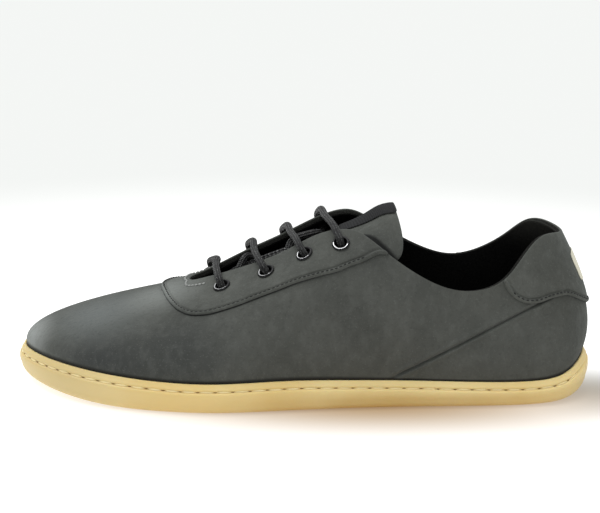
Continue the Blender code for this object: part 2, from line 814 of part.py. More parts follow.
def make_lace(surface):
    """One lace, laced in bars outside with its diagonals crossing under them."""
    knots = lace_knots()
    points = []
    for i in range(len(knots) - 1):
        before = knots[max(i - 1, 0)]
        start, end = knots[i], knots[i + 1]
        after = knots[min(i + 2, len(knots) - 1)]
        points.append(start)
        if (end - start).length > LACE_STRIDE:
            points.append((9 * (start + end) - before - after) / 16)
    points.append(knots[-1])
    return cord("lace", points, LACE_DIAMETER, surface)


def cord(name, points, diameter, surface):
    """A round tube with closed ends through the points."""
    curve = bpy.data.curves.new(name, "CURVE")
    curve.dimensions = "3D"
    curve.bevel_depth = diameter / 2
    curve.bevel_resolution = 2
    curve.use_fill_caps = True
    spline = curve.splines.new("POLY")
    spline.points.add(len(points) - 1)
    for knot, point in zip(spline.points, points):
        knot.co = (*point, 1)
    curve.materials.append(surface)
    thing = bpy.data.objects.new(name, curve)
    bpy.context.collection.objects.link(thing)
    return thing


def main():
    clear_scene()
    nubuck = material("nubuck", (0.085, 0.090, 0.084), 0.85)
    gum = material("gum_rubber", (0.62, 0.45, 0.20), 0.55)
    lining = material("lining", (0.012, 0.012, 0.012), 0.95)
    ribbon = material("ribbon", (0.020, 0.020, 0.022), 0.80)
    metal = material("eyelet_metal", (0.030, 0.030, 0.032), 0.30, 1.0)
    cotton = material("lace_cotton", (0.060, 0.060, 0.062), 0.80)

    make_sole(gum)
    upper = make_upper(nubuck)
    make_insole(lining)
    eyestay = make_eyestay(nubuck)
    make_heel_patch(nubuck)
    make_tongue(nubuck)
    make_tongue_label(ribbon)
    make_eyelets(metal)
    drill = eyelet_drill()
    cut(upper, drill)
    cut(eyestay, drill)
    make_lace(cotton)


main()
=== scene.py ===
# %% [markdown]
# # A laced barefoot shoe
# The imported part already holds this shoe's true sizes. This lesson dresses it: finer surfaces,
# seams, stitches and finishes, each placed by the same sizes as the part. The first lines load
# the part.

# %% Load the frame
import math

import bmesh
import bpy
import numpy as np
from mathutils import Matrix, Quaternion, Vector
from mathutils.bvhtree import BVHTree


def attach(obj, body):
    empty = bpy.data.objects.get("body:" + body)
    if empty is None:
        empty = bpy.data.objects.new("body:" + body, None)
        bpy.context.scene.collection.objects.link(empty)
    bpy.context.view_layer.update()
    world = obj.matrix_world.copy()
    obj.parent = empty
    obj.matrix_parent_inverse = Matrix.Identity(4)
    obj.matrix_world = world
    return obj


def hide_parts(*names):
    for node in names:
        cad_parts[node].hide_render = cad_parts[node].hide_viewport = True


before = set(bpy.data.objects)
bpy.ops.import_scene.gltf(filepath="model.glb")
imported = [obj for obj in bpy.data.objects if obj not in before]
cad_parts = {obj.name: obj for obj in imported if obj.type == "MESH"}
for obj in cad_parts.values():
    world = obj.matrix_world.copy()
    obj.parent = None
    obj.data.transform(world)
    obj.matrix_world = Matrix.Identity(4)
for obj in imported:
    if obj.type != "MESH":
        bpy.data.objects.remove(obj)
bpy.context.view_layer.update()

scene = bpy.context.scene

# %% [markdown]
# ## The camera
# The photograph looks at the lateral side from a little above and from far away, so the lens is
# long. The camera comes first because every later piece is compared through it.

# %% Camera
CAMERA_AZIMUTH = -2.0
CAMERA_ELEVATION = 14.0
CAMERA_ROLL = 0.8
CAMERA_DISTANCE = 1.0
CAMERA_TARGET = Vector((-0.003, 0.0, 0.0658))
CAMERA_LENS = 120.7


def place_camera():
    """Aim the camera at the shoe from the photograph's direction."""
    camera = bpy.data.objects.new("camera", bpy.data.cameras.new("camera"))
    scene.collection.objects.link(camera)
    turn = math.radians(CAMERA_AZIMUTH)
    lift = math.radians(CAMERA_ELEVATION)
    back = Vector((math.sin(turn) * math.cos(lift), -math.cos(turn) * math.cos(lift), math.sin(lift)))
    camera.location = CAMERA_TARGET + CAMERA_DISTANCE * back
    camera.rotation_mode = "QUATERNION"
    roll = Quaternion((0, 0, 1), math.radians(CAMERA_ROLL))
    camera.rotation_quaternion = (-back).to_track_quat("-Z", "Y") @ roll
    camera.data.lens = CAMERA_LENS
    camera.data.sensor_width = 36
    camera.data.clip_start = 0.01
    scene.camera = camera
    print("camera at", tuple(round(c, 3) for c in camera.location))


place_camera()

# %% [markdown]
# ## Light
# A catalogue photograph is lit by wide soft sources over a white table, so nothing has a hard
# shadow. A pale world gives the even light. Two suns are made very broad, like the sky through
# diffusing cloth: one from the upper left lights the toe and the vamp, and one from above fills.
# Suns light the whole table evenly, which lamps close to the shoe would not.

# %% World and lamps
WORLD_COLOUR = (0.905, 0.915, 0.908)
WORLD_STRENGTH = 0.50
LAMPS = (
    ("key_sun", Vector((-0.38, 0.0, 1.0)), 1.3, 50),
    ("top_sun", Vector((0.15, 0.15, 1.0)), 1.2, 100),
)


def light_studio():
    world = bpy.data.worlds.new("studio")
    world.use_nodes = True
    sky = world.node_tree.nodes["Background"]
    sky.inputs["Color"].default_value = (*WORLD_COLOUR, 1)
    sky.inputs["Strength"].default_value = WORLD_STRENGTH
    scene.world = world
    for name, towards, strength, breadth in LAMPS:
        lamp = bpy.data.lights.new(name, "SUN")
        lamp.energy = strength
        lamp.angle = math.radians(breadth)
        thing = bpy.data.objects.new(name, lamp)
        scene.collection.objects.link(thing)
        thing.location = towards
        thing.rotation_mode = "QUATERNION"
        thing.rotation_quaternion = (-towards).to_track_quat("-Z", "Y")
    scene.view_settings.view_transform = "Standard"


light_studio()
print("studio: pale world and", len(LAMPS), "broad suns")

# %% [markdown]
# ## The last's surface
# The outer face of the upper is one function of two numbers, the same one that the part is cut
# from. The turn goes once round the shoe: 0 behind the heel, about 0.25 at the lateral waist,
# 0.51 at the toe. The rise goes up a section: 0 at the sole's rim, 1 at the opening's edge.
# Because every panel takes its place from it, the panels always lie on the shoe.

# %% Sizes of the last
LENGTH = 0.2850
BALL_WIDTH = 0.1060
HEEL_HEIGHT = 0.0818
INSTEP_HEIGHT = 0.0848
SOLE_HEIGHT = 0.0148
TOE_SPRING = 0.0036
SPRING_START = 0.26
SPRING_EASE = 1.8
FLOOR_THICKNESS = 0.0042
LEDGE = 0.0034
WALL_DRAFT = 0.0007
EDGE_RADIUS = 0.0040
EDGE_SPREAD = 1.15
BAND_HEIGHT = 0.0035
BAND_LEDGE = 0.0026
RIM_LEDGE = 0.0014
CLEARANCE = 0.0003
WALL = 0.0022
WALL_TUCK = 0.0018
INSOLE_THICKNESS = 0.0032
INSOLE_BEVEL = 0.0010
OVERLAY_THICKNESS = 0.0012
TONGUE_THICKNESS = 0.0040
LABEL_THICKNESS = 0.0007
UPPER_LENGTH = LENGTH - 2 * LEDGE
UPPER_WIDTH = BALL_WIDTH - 2 * LEDGE
TOE_TURN = 0.512
END_CROWDING = 0.25
TURN_STEP = 0.005
RISE_STEP = 0.03
ARCH_STEP = 0.06

# The line where the upper meets the sole's rim.
# turn, x / UPPER_LENGTH, y / UPPER_WIDTH, rim / SOLE_HEIGHT, edge rounding / EDGE_RADIUS
OUTLINE = (
    (0.000, 0.500, -0.016, 1.42, 2.3),
    (0.030, 0.485, -0.180, 1.26, 1.9),
    (0.060, 0.452, -0.290, 0.96, 1.4),
    (0.100, 0.385, -0.350, 0.83, 1.0),
    (0.145, 0.290, -0.374, 0.86, 1.0),
    (0.195, 0.180, -0.388, 0.93, 1.0),
    (0.245, 0.068, -0.415, 0.99, 1.0),
    (0.290, -0.045, -0.460, 1.04, 1.0),
    (0.335, -0.162, -0.499, 1.00, 1.0),
    (0.380, -0.276, -0.462, 1.05, 1.1),
    (0.420, -0.368, -0.370, 1.15, 1.1),
    (0.455, -0.438, -0.226, 1.21, 1.2),
    (0.485, -0.483, -0.060, 1.21, 1.2),
    (0.512, -0.504, 0.110, 1.19, 1.2),
    (0.540, -0.490, 0.280, 1.19, 1.2),
    (0.572, -0.436, 0.405, 1.19, 1.2),
    (0.612, -0.346, 0.474, 1.12, 1.1),
    (0.660, -0.230, 0.499, 1.03, 1.0),
    (0.710, -0.105, 0.455, 1.01, 1.0),
    (0.760, 0.015, 0.378, 1.01, 1.0),
    (0.812, 0.130, 0.330, 0.97, 1.0),
    (0.860, 0.245, 0.318, 0.90, 1.0),
    (0.905, 0.352, 0.320, 0.84, 1.0),
    (0.942, 0.440, 0.262, 0.92, 1.4),
    (0.972, 0.486, 0.150, 1.20, 1.9),
)

# The edge of the opening. Its height is the sum of a share of each height.
# turn, x / UPPER_LENGTH, y / UPPER_WIDTH, z / HEEL_HEIGHT, z / INSTEP_HEIGHT
OPENING = (
    (0.000, 0.451, -0.016, 0.985, 0.000),
    (0.030, 0.433, -0.118, 0.995, 0.000),
    (0.060, 0.405, -0.182, 0.980, 0.000),
    (0.085, 0.378, -0.236, 0.890, 0.000),
    (0.110, 0.348, -0.278, 0.770, 0.000),
    (0.145, 0.294, -0.308, 0.695, 0.000),
    (0.185, 0.222, -0.315, 0.640, 0.095),
    (0.220, 0.150, -0.292, 0.370, 0.495),
    (0.245, 0.105, -0.226, 0.100, 0.855),
    (0.262, 0.078, -0.170, 0.000, 0.980),
    (0.282, 0.030, -0.135, 0.000, 0.953),
    (0.310, -0.030, -0.102, 0.000, 0.845),
    (0.345, -0.105, -0.070, 0.000, 0.733),
    (0.385, -0.168, -0.022, 0.000, 0.655),
    (0.440, -0.199, 0.020, 0.000, 0.616),
    (0.512, -0.207, 0.070, 0.000, 0.608),
    (0.585, -0.196, 0.122, 0.000, 0.620),
    (0.640, -0.155, 0.147, 0.000, 0.675),
    (0.680, -0.095, 0.165, 0.000, 0.772),
    (0.715, -0.030, 0.180, 0.000, 0.870),
    (0.742, 0.030, 0.195, 0.000, 0.965),
    (0.762, 0.070, 0.207, 0.000, 1.000),
    (0.785, 0.105, 0.238, 0.100, 0.870),
    (0.815, 0.155, 0.275, 0.380, 0.500),
    (0.855, 0.225, 0.290, 0.680, 0.095),
    (0.895, 0.300, 0.290, 0.757, 0.000),
    (0.925, 0.365, 0.255, 0.876, 0.000),
    (0.950, 0.405, 0.200, 0.990, 0.000),
    (0.975, 0.437, 0.100, 1.000, 0.000),
)

# How each section bulges. Angles are in degrees, the other two are shares of its chord.
# turn, lean outwards at the rim, pull of the lean, slope at the opening, pull of the slope
FULLNESS = (
    (0.000, 24.0, 0.30, 62.0, 0.38),
    (0.045, 14.0, 0.32, 74.0, 0.38),
    (0.100, 6.0, 0.38, 92.0, 0.32),
    (0.160, 8.0, 0.42, 80.0, 0.30),
    (0.220, 9.0, 0.42, 52.0, 0.30),
    (0.270, 8.0, 0.44, 32.0, 0.32),
    (0.330, 8.0, 0.34, 26.0, 0.38),
    (0.400, 8.0, 0.26, 21.0, 0.45),
    (0.460, 11.0, 0.18, 17.0, 0.56),
    (0.512, 13.0, 0.15, 16.0, 0.62),
    (0.560, 11.0, 0.17, 17.0, 0.56),
    (0.610, 8.0, 0.24, 21.0, 0.46),
    (0.680, 8.0, 0.34, 26.0, 0.38),
    (0.750, 8.0, 0.44, 34.0, 0.32),
    (0.800, 9.0, 0.42, 55.0, 0.30),
    (0.850, 8.0, 0.42, 80.0, 0.30),
    (0.900, 6.0, 0.38, 92.0, 0.32),
    (0.955, 13.0, 0.31, 74.0, 0.38),
)


# %% [markdown]
# ## From tables to a surface
# A last is one smooth body, and its surface could be sculpted or lofted by hand. Here closed
# curves run through the tables' rows, and each section between them is one cubic curve. Every
# point of the upper then has an address, (turn, rise), that panels, holes and stitches share.

# %% The surface function
class Ring:
    """A smooth closed curve through table rows, whose first column is the turn."""

    def __init__(self, rows, sizes):
        """Solve for the curve's bends. Each column after the first is a share of its size."""
        table = np.array(rows, float)
        self.turns = table[:, 0]
        self.values = table[:, 1:] * np.array(sizes)
        count = len(self.turns)
        self.steps = np.diff(np.append(self.turns, self.turns[0] + 1))
        slopes = (np.roll(self.values, -1, 0) - self.values) / self.steps[:, None]
        system = np.zeros((count, count))
        for i in range(count):
            system[i, i - 1] += self.steps[i - 1]
            system[i, i] += 2 * (self.steps[i - 1] + self.steps[i])
            system[i, (i + 1) % count] += self.steps[i]
        self.bends = np.linalg.solve(system, 6 * (slopes - np.roll(slopes, 1, 0)))

    def at(self, turn):
        """The values of the columns at any turn."""
        turn = (turn - self.turns[0]) % 1 + self.turns[0]
        i = int(np.searchsorted(self.turns, turn, side="right")) - 1
        j = (i + 1) % len(self.turns)
        step = self.steps[i]
        a = (self.turns[i] + step - turn) / step
        b = 1 - a
        bend = (a ** 3 - a) * self.bends[i] + (b ** 3 - b) * self.bends[j]
        return (a * self.values[i] + b * self.values[j] + bend * step * step / 6).tolist()


OUTLINE_RING = Ring(OUTLINE, (UPPER_LENGTH, UPPER_WIDTH, SOLE_HEIGHT, EDGE_RADIUS))
OPENING_RING = Ring(OPENING, (UPPER_LENGTH, UPPER_WIDTH, HEEL_HEIGHT, INSTEP_HEIGHT))
FULLNESS_RING = Ring(FULLNESS, (1, 1, 1, 1))
SECTIONS = {}


def outline(turn):
    """The line where the upper meets the sole's rim."""
    return Vector(OUTLINE_RING.at(turn)[:3])


def opening(turn):
    """The edge of the collar and the throat."""
    x, y, heel_part, instep_part = OPENING_RING.at(turn)
    return Vector((x, y, heel_part + instep_part))


def outward(curve, turn):
    """The level direction square to a closed curve, away from the foot."""
    run = curve(turn + TURN_STEP) - curve(turn - TURN_STEP)
    return Vector((-run.y, run.x, 0)).normalized()


def bezier(first, second, third, last, steps=40):
    """Points along a cubic curve."""
    t = np.linspace(0, 1, steps + 1)[:, None]
    s = 1 - t
    first, second, third, last = (np.array(point) for point in (first, second, third, last))
    return s ** 3 * first + 3 * s * s * t * second + 3 * s * t * t * third + t ** 3 * last


def lengths_along(points):
    """The length of a chain of points up to each of them."""
    return np.concatenate(([0], np.cumsum(np.linalg.norm(np.diff(points, axis=0), axis=1))))


def section(turn):
    """Points up the outer face of the upper, with their lengths from the rim."""
    key = round(turn % 1, 6)
    if key not in SECTIONS:
        lean, lean_pull, slope, slope_pull = FULLNESS_RING.at(key)
        lean = math.radians(lean)
        slope = math.radians(slope)
        start = outline(key)
        end = opening(key)
        chord = (end - start).length
        up = Vector((0, 0, 1))
        start_run = math.cos(lean) * up + math.sin(lean) * outward(outline, key)
        end_run = math.sin(slope) * up - math.cos(slope) * outward(opening, key)
        second = start + lean_pull * chord * start_run
        third = end - slope_pull * chord * end_run
        points = bezier(start, second, third, end)
        SECTIONS[key] = (points, lengths_along(points))
    return SECTIONS[key]


def skin(turn, rise):
    """The outer face of the upper: even steps of rise are even lengths of leather."""
    points, along = section(turn)
    place = rise * along[-1]
    i = min(max(int(np.searchsorted(along, place)) - 1, 0), len(along) - 2)
    share = (place - along[i]) / (along[i + 1] - along[i])
    return Vector(points[i] + share * (points[i + 1] - points[i]))


def skin_frame(turn, rise):
    """The outer face's point with its directions forward and out."""
    forward = (skin(turn + TURN_STEP, rise) - skin(turn - TURN_STEP, rise)).normalized()
    up = (skin(turn, min(rise + RISE_STEP, 1)) - skin(turn, rise - RISE_STEP)).normalized()
    return skin(turn, rise), forward, up.cross(forward).normalized()


def spring(x):
    """How far the sole's underside rises from the floor towards the toe."""
    start = -SPRING_START * LENGTH
    tip = -LENGTH / 2
    share = max(0, (start - x) / (start - tip))
    return TOE_SPRING * share ** SPRING_EASE


def beside(turn, out, height):
    """A point beyond the outline by out, at a height over the floor."""
    point = outline(turn) + out * outward(outline, turn)
    return Vector((point.x, point.y, height))


def around(turn, out, height):
    """A point beyond the outline by out, at a height over the sprung underside."""
    point = beside(turn, out, height)
    return Vector((point.x, point.y, height + spring(point.x)))


def spine(turn, out, height):
    """The point halfway between the two sides of the sole, at the same height."""
    middle = (around(turn, out, height) + around(1 - turn, out, height)) / 2
    return Vector((middle.x, middle.y, height + spring(middle.x)))


def smooth_through(rows, turn):
    """A value read from rows of (turn, value), eased between them."""
    turns = [row[0] for row in rows]
    values = [row[1] for row in rows]
    slopes = np.gradient(values, turns)
    i = min(max(int(np.searchsorted(turns, turn)) - 1, 0), len(turns) - 2)
    step = turns[i + 1] - turns[i]
    t = min(max((turn - turns[i]) / step, 0), 1)
    s = 1 - t
    rise = s * s * (1 + 2 * t) * values[i] + t * t * (1 + 2 * s) * values[i + 1]
    return float(rise + s * s * t * step * slopes[i] - t * t * s * step * slopes[i + 1])


def even_turn(share):
    """Turns that crowd at the heel and the toe, and pair off across the sole."""
    return share - END_CROWDING * math.sin(4 * math.pi * share) / (4 * math.pi)


def mirror_turn(turn):
    """The turn on the other side of the toe."""
    return 2 * TOE_TURN - turn


print("instep edge at", tuple(round(c, 4) for c in opening(0.262)))

# %% [markdown]
# ## Tools for panels and seams
# A leather panel starts as a flat grid whose corners are moved onto the surface. Lips, stitch
# channels, seams and creases are all the same thing: the surface moves in or out by an amount
# that depends on the distance to a line. So one function presses every kind of line.

# %% Panel tools
WELD = 0.00001


def sheet(columns, rows, place):
    """A grid whose corners are moved to place(column share, row share), facing outwards."""
    bm = bmesh.new()
    bmesh.ops.create_grid(bm, x_segments=columns, y_segments=rows, size=0.5)
    layer = bm.loops.layers.uv.new("UVMap")
    shares = {v: (v.co.x + 0.5, v.co.y + 0.5) for v in bm.verts}
    for face in bm.faces:
        for loop in face.loops:
            loop[layer].uv = shares[loop.vert]
    for vert, (across, up) in shares.items():
        vert.co = place(across, up)
    bmesh.ops.remove_doubles(bm, verts=bm.verts, dist=WELD)
    bmesh.ops.reverse_faces(bm, faces=bm.faces)
    return bm


def distances(points, path):
    """How far each point is from a chain of points, and how far along that chain, 0 to 1."""
    path = np.array([tuple(p) for p in path])
    along = lengths_along(path)
    nearest = np.full(len(points), np.inf)
    place = np.zeros(len(points))
    for i in range(len(path) - 1):
        run = path[i + 1] - path[i]
        share = np.clip((points - path[i]) @ run / max(run @ run, 1e-12), 0, 1)
        gap = np.linalg.norm(points - path[i] - share[:, None] * run, axis=1)
        closer = gap < nearest
        nearest[closer] = gap[closer]
        place[closer] = (along[i] + share[closer] * (along[i + 1] - along[i])) / along[-1]
    return nearest, place


def press(bm, path, depth_at):
    """Move the surface along its normals by depth_at(distance to the path, place along it)."""
    bm.normal_update()
    verts = list(bm.verts)
    points = np.array([v.co[:] for v in verts])
    moves = depth_at(*distances(points, path))
    for vert, move in zip(verts, moves):
        vert.co += float(move) * vert.normal


def bump(gap, middle, width):
    """A soft rise of height 1 at one distance from a line."""
    return np.exp(-((gap - middle) / width) ** 2)


print("leather up the lateral waist:", round(float(section(0.25)[1][-1]), 4), "m")

# %% [markdown]
# ## From mesh to finished piece
# A sheet becomes a panel when it gets a wall and rounded cut edges. Modifiers do both, and they
# are applied at once, so that holes and stitches find the finished surface. Then the piece is
# tied to the part: which body it rides and which solids it stands for.

# %% Piece tools
SHARP_ANGLE = 70
TOP_EDGE = 0.9995


def make_object(name, bm, *surfaces):
    """Turn a bmesh into a named smooth object with its materials."""
    mesh = bpy.data.meshes.new(name)
    bm.to_mesh(mesh)
    bm.free()
    for surface in surfaces:
        mesh.materials.append(surface)
    mesh.shade_smooth()
    thing = bpy.data.objects.new(name, mesh)
    scene.collection.objects.link(thing)
    return thing


def add_wall(thing, thickness, offset):
    """Give a sheet an even wall: offset 1 grows it outwards and -1 inwards."""
    wall = thing.modifiers.new("wall", "SOLIDIFY")
    wall.thickness = thickness
    wall.offset = offset
    wall.use_even_offset = True
    return wall


def round_edges(thing, width, segments=3):
    """Round the cut edges of a sheet that has a wall."""
    edge = thing.modifiers.new("rounding", "BEVEL")
    edge.width = width
    edge.segments = segments
    edge.limit_method = "ANGLE"
    edge.angle_limit = math.radians(SHARP_ANGLE)
    edge.use_clamp_overlap = True


def settle(thing):
    """Apply a piece's modifiers, so that its mesh is the finished shape."""
    graph = bpy.context.evaluated_depsgraph_get()
    finished = bpy.data.meshes.new_from_object(thing.evaluated_get(graph))
    rough = thing.data
    thing.modifiers.clear()
    thing.data = finished
    bpy.data.meshes.remove(rough)
    finished.name = thing.name
    return thing


def ink_top_edge(thing):
    """Give the cut edge along the top of a panel its second material, the edge dye."""
    layer = thing.data.uv_layers["UVMap"].data
    for face in thing.data.polygons:
        height = sum(layer[i].uv.y for i in face.loop_indices) / len(face.loop_indices)
        if height > TOP_EDGE:
            face.material_index = 1


def dress(thing, slot, *nodes):
    """Set a finished piece on the shoe: its body and the nodes it stands for. slot is not used."""
    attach(thing, "root")
    if nodes:
        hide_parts(*nodes)
    print(thing.name + ":", len(thing.data.polygons), "faces")
    return thing


print("piece tools: wall, rounding, holes, edge dye")

# %% [markdown]
# ## Tools for finishes
# A finish could be painted on a picture, but then it would need one for every panel. Here it is
# worked out from the place on the shoe, in metres, so it has the same scale on every piece and
# stays where it is on the piece.

# %% Material tools
def surface_material(name, colour, roughness):
    """A material with its principled shader, nodes and links."""
    made = bpy.data.materials.new(name)
    made.use_nodes = True
    shader = made.node_tree.nodes["Principled BSDF"]
    shader.inputs["Base Color"].default_value = (*colour, 1)
    shader.inputs["Roughness"].default_value = roughness
    return made, shader, made.node_tree.nodes, made.node_tree.links


def noise(nodes, links, scale, detail=3.0, stretch=(1, 1, 1)):
    """Noise in the shoe's own metres: scale is the number of clouds in a metre."""
    place = nodes.new("ShaderNodeTexCoord")
    mapping = nodes.new("ShaderNodeMapping")
    mapping.inputs["Scale"].default_value = stretch
    cloud = nodes.new("ShaderNodeTexNoise")
    cloud.inputs["Scale"].default_value = scale
    cloud.inputs["Detail"].default_value = detail
    links.new(place.outputs["Object"], mapping.inputs["Vector"])
    links.new(mapping.outputs[0], cloud.inputs["Vector"])
    return cloud.outputs["Fac"]


def spread(nodes, links, value, low, high, to_low=0.0, to_high=1.0):
    """Stretch a value from one range to another, smoothly."""
    ranged = nodes.new("ShaderNodeMapRange")
    ranged.interpolation_type = "SMOOTHSTEP"
    ranged.inputs["From Min"].default_value = low
    ranged.inputs["From Max"].default_value = high
    ranged.inputs["To Min"].default_value = to_low
    ranged.inputs["To Max"].default_value = to_high
    links.new(value, ranged.inputs["Value"])
    return ranged.outputs["Result"]


def blend(nodes, links, factor, first, second):
    """A mix of two colours. Each is a colour or another node's output."""
    mix = nodes.new("ShaderNodeMix")
    mix.data_type = "RGBA"
    links.new(factor, mix.inputs["Factor"])
    for socket, colour in ((mix.inputs[6], first), (mix.inputs[7], second)):
        if isinstance(colour, tuple):
            socket.default_value = (*colour, 1)
        else:
            links.new(colour, socket)
    return mix.outputs[2]


def add_bump(nodes, links, shader, height, depth, under=None):
    """Raise the surface by height times depth, on top of another bump."""
    raised = nodes.new("ShaderNodeBump")
    raised.inputs["Distance"].default_value = depth
    links.new(height, raised.inputs["Height"])
    if under:
        links.new(under, raised.inputs["Normal"])
    links.new(raised.outputs[0], shader.inputs["Normal"])
    return raised.outputs[0]


def near_point(nodes, links, centre, size, share):
    """A share at a place on the shoe, fading to 0 at size from it along each axis."""
    place = nodes.new("ShaderNodeTexCoord")
    mapping = nodes.new("ShaderNodeMapping")
    mapping.inputs["Location"].default_value = [-c / s for c, s in zip(centre, size)]
    mapping.inputs["Scale"].default_value = [1 / s for s in size]
    far = nodes.new("ShaderNodeVectorMath")
    far.operation = "LENGTH"
    links.new(place.outputs["Object"], mapping.inputs["Vector"])
    links.new(mapping.outputs[0], far.inputs[0])
    return spread(nodes, links, far.outputs["Value"], 0, 1, share, 0)


print("finish tools: noise, spread, blend, bump, patch")

# %% [markdown]
# ## Nubuck
# Nubuck is leather sanded to a short nap. It has no gloss. Light catches its fibres, so it looks
# cloudy: broad soft patches, then fine specks. The patches are noise in the colour and the
# fibres are noise in the bump, with a little sheen. A table places painted highlights, pale on the
# toe, the vamp and the heel patch, and painted shade, dark low on the toe, at the ball and along the side.

# %% Nubuck
NAP_DARK = (0.056, 0.059, 0.053)
NAP_LIGHT = (0.088, 0.092, 0.083)
NAP_WORN = (0.130, 0.136, 0.126)
NAP_HOLLOW = tuple(0.45 * c for c in NAP_DARK)
# Layers of the nap: clouds in a metre, detail, stretch, range of the noise, share, tone
NAP_LAYERS = (
    (220, 6, (1.0, 1.0, 0.6), (0.42, 0.76), 0.24, NAP_WORN),
    (620, 4, (1.0, 1.0, 1.0), (0.50, 0.78), 0.26, NAP_HOLLOW),
    (1300, 2, (1.0, 1.0, 1.0), (0.60, 0.72), 0.35, NAP_WORN),
)
# Painted highlights (pale tones) and painted shade (dark tones) on the nap: centre, size, share, colour
PAINTED_NAP_LIGHT_AND_SHADE = (
    ((-0.100, -0.036, 0.022), (0.044, 0.032, 0.020), 0.80, (0.034, 0.037, 0.037)),
    ((-0.062, -0.046, 0.032), (0.042, 0.032, 0.032), 0.75, (0.040, 0.043, 0.041)),
    ((-0.105, -0.008, 0.040), (0.042, 0.042, 0.020), 0.60, (0.165, 0.181, 0.180)),
    ((-0.080, -0.006, 0.054), (0.036, 0.036, 0.017), 0.95, (0.275, 0.293, 0.280)),
    ((-0.138, 0.002, 0.026), (0.018, 0.034, 0.018), 0.90, (0.290, 0.305, 0.296)),
    ((0.010, -0.045, 0.035), (0.090, 0.050, 0.040), 0.25, (0.060, 0.061, 0.054)),
    ((0.125, -0.022, 0.052), (0.026, 0.040, 0.028), 0.50, (0.054, 0.055, 0.047)),
    ((0.030, -0.026, 0.078), (0.026, 0.022, 0.018), 0.50, (0.048, 0.051, 0.047)),
    ((0.105, -0.030, 0.060), (0.012, 0.012, 0.018), 0.45, (0.110, 0.114, 0.104)),
)


def make_nubuck(name, light):
    """Sanded dark grey leather with painted highlights and painted shade. light brightens a panel against
    its neighbours.
    """
    made, shader, nodes, links = surface_material(name, NAP_DARK, 0.88)
    shader.inputs["Specular IOR Level"].default_value = 0.20
    shader.inputs["Sheen Weight"].default_value = 0.10
    shader.inputs["Sheen Roughness"].default_value = 0.50
    shader.inputs["Sheen Tint"].default_value = (0.85, 0.95, 0.93, 1)
    broad = spread(nodes, links, noise(nodes, links, 40, 4), 0.30, 0.70, 0.15, 0.75)
    dark, pale = (tuple(light * c for c in tone) for tone in (NAP_DARK, NAP_LIGHT))
    colour = blend(nodes, links, broad, dark, pale)
    # painted highlights and painted shade from the table
    for centre, size, share, tone in PAINTED_NAP_LIGHT_AND_SHADE:
        colour = blend(nodes, links, near_point(nodes, links, centre, size, share), colour, tone)
    for scale, detail, stretch, (low, high), share, tone in NAP_LAYERS:
        layer = spread(nodes, links, noise(nodes, links, scale, detail, stretch), low, high, 0, share)
        colour = blend(nodes, links, layer, colour, tuple(light * c for c in tone))
    links.new(colour, shader.inputs["Base Color"])
    grain = add_bump(nodes, links, shader, noise(nodes, links, 420, 4), 0.00035)
    add_bump(nodes, links, shader, noise(nodes, links, 2600, 2), 0.00012, grain)
    return made, shader, nodes, links, colour


def shade_by_map(name, light, weights, start, end, shade=(0.006, 0.006, 0.006)):
    """Nubuck with painted shade that darkens with |u - 0.5| and v of the panel's map, by their two weights.
    """
    made, shader, nodes, links, colour = make_nubuck(name, light)
    place = nodes.new("ShaderNodeUVMap")
    place.uv_map = "UVMap"
    centred = nodes.new("ShaderNodeVectorMath")
    centred.operation = "SUBTRACT"
    centred.inputs[1].default_value = (0.5, 0, 0)
    sides = nodes.new("ShaderNodeVectorMath")
    sides.operation = "ABSOLUTE"
    sum_up = nodes.new("ShaderNodeVectorMath")
    sum_up.operation = "DOT_PRODUCT"
    sum_up.inputs[1].default_value = (*weights, 0)
    links.new(place.outputs[0], centred.inputs[0])
    links.new(centred.outputs[0], sides.inputs[0])
    links.new(sides.outputs[0], sum_up.inputs[0])
    dark = spread(nodes, links, sum_up.outputs["Value"], start, end)
    links.new(blend(nodes, links, dark, colour, shade), shader.inputs["Base Color"])
    return made


# Painted shade: darker where the upper dives into the sole, a painted shadow under the overlays'
# round edges, and painted shade beside the facings on the tongue
NUBUCK = shade_by_map("nubuck_upper", 1.0, (0, -1), -0.048, -0.026, (0.018, 0.018, 0.016))
NUBUCK_TRIM = shade_by_map("nubuck_trim", 1.10, (0, -1), -0.130, -0.092, (0.012, 0.012, 0.011))
TONGUE_COVER = shade_by_map("nubuck_tongue", 1.16, (1.0, -0.28), 0.048, 0.080)
print("nubuck:", NUBUCK.name, NUBUCK_TRIM.name, TONGUE_COVER.name)

# %% [markdown]
# ## Gum rubber
# Gum rubber is warm, slightly glossy, and lets a little light in, so it glows at thin edges. A
# broad noise gives its uneven pour, and painted shade darkens the toe. Underneath, the fine tread is
# left to the bump, because its studs are far smaller than anything that shows from the side.

# %% Rubber
GUM = (0.760, 0.565, 0.225)
GUM_PALE = (0.830, 0.660, 0.305)
GUM_SHADED = (0.545, 0.420, 0.190)
# Where painted shade darkens the toe's rubber: centre, size, share
GUM_TOE_SHADE = ((-0.125, -0.025, 0.008), (0.080, 0.075, 0.032), 0.80)
TREAD_PITCH = 0.0030


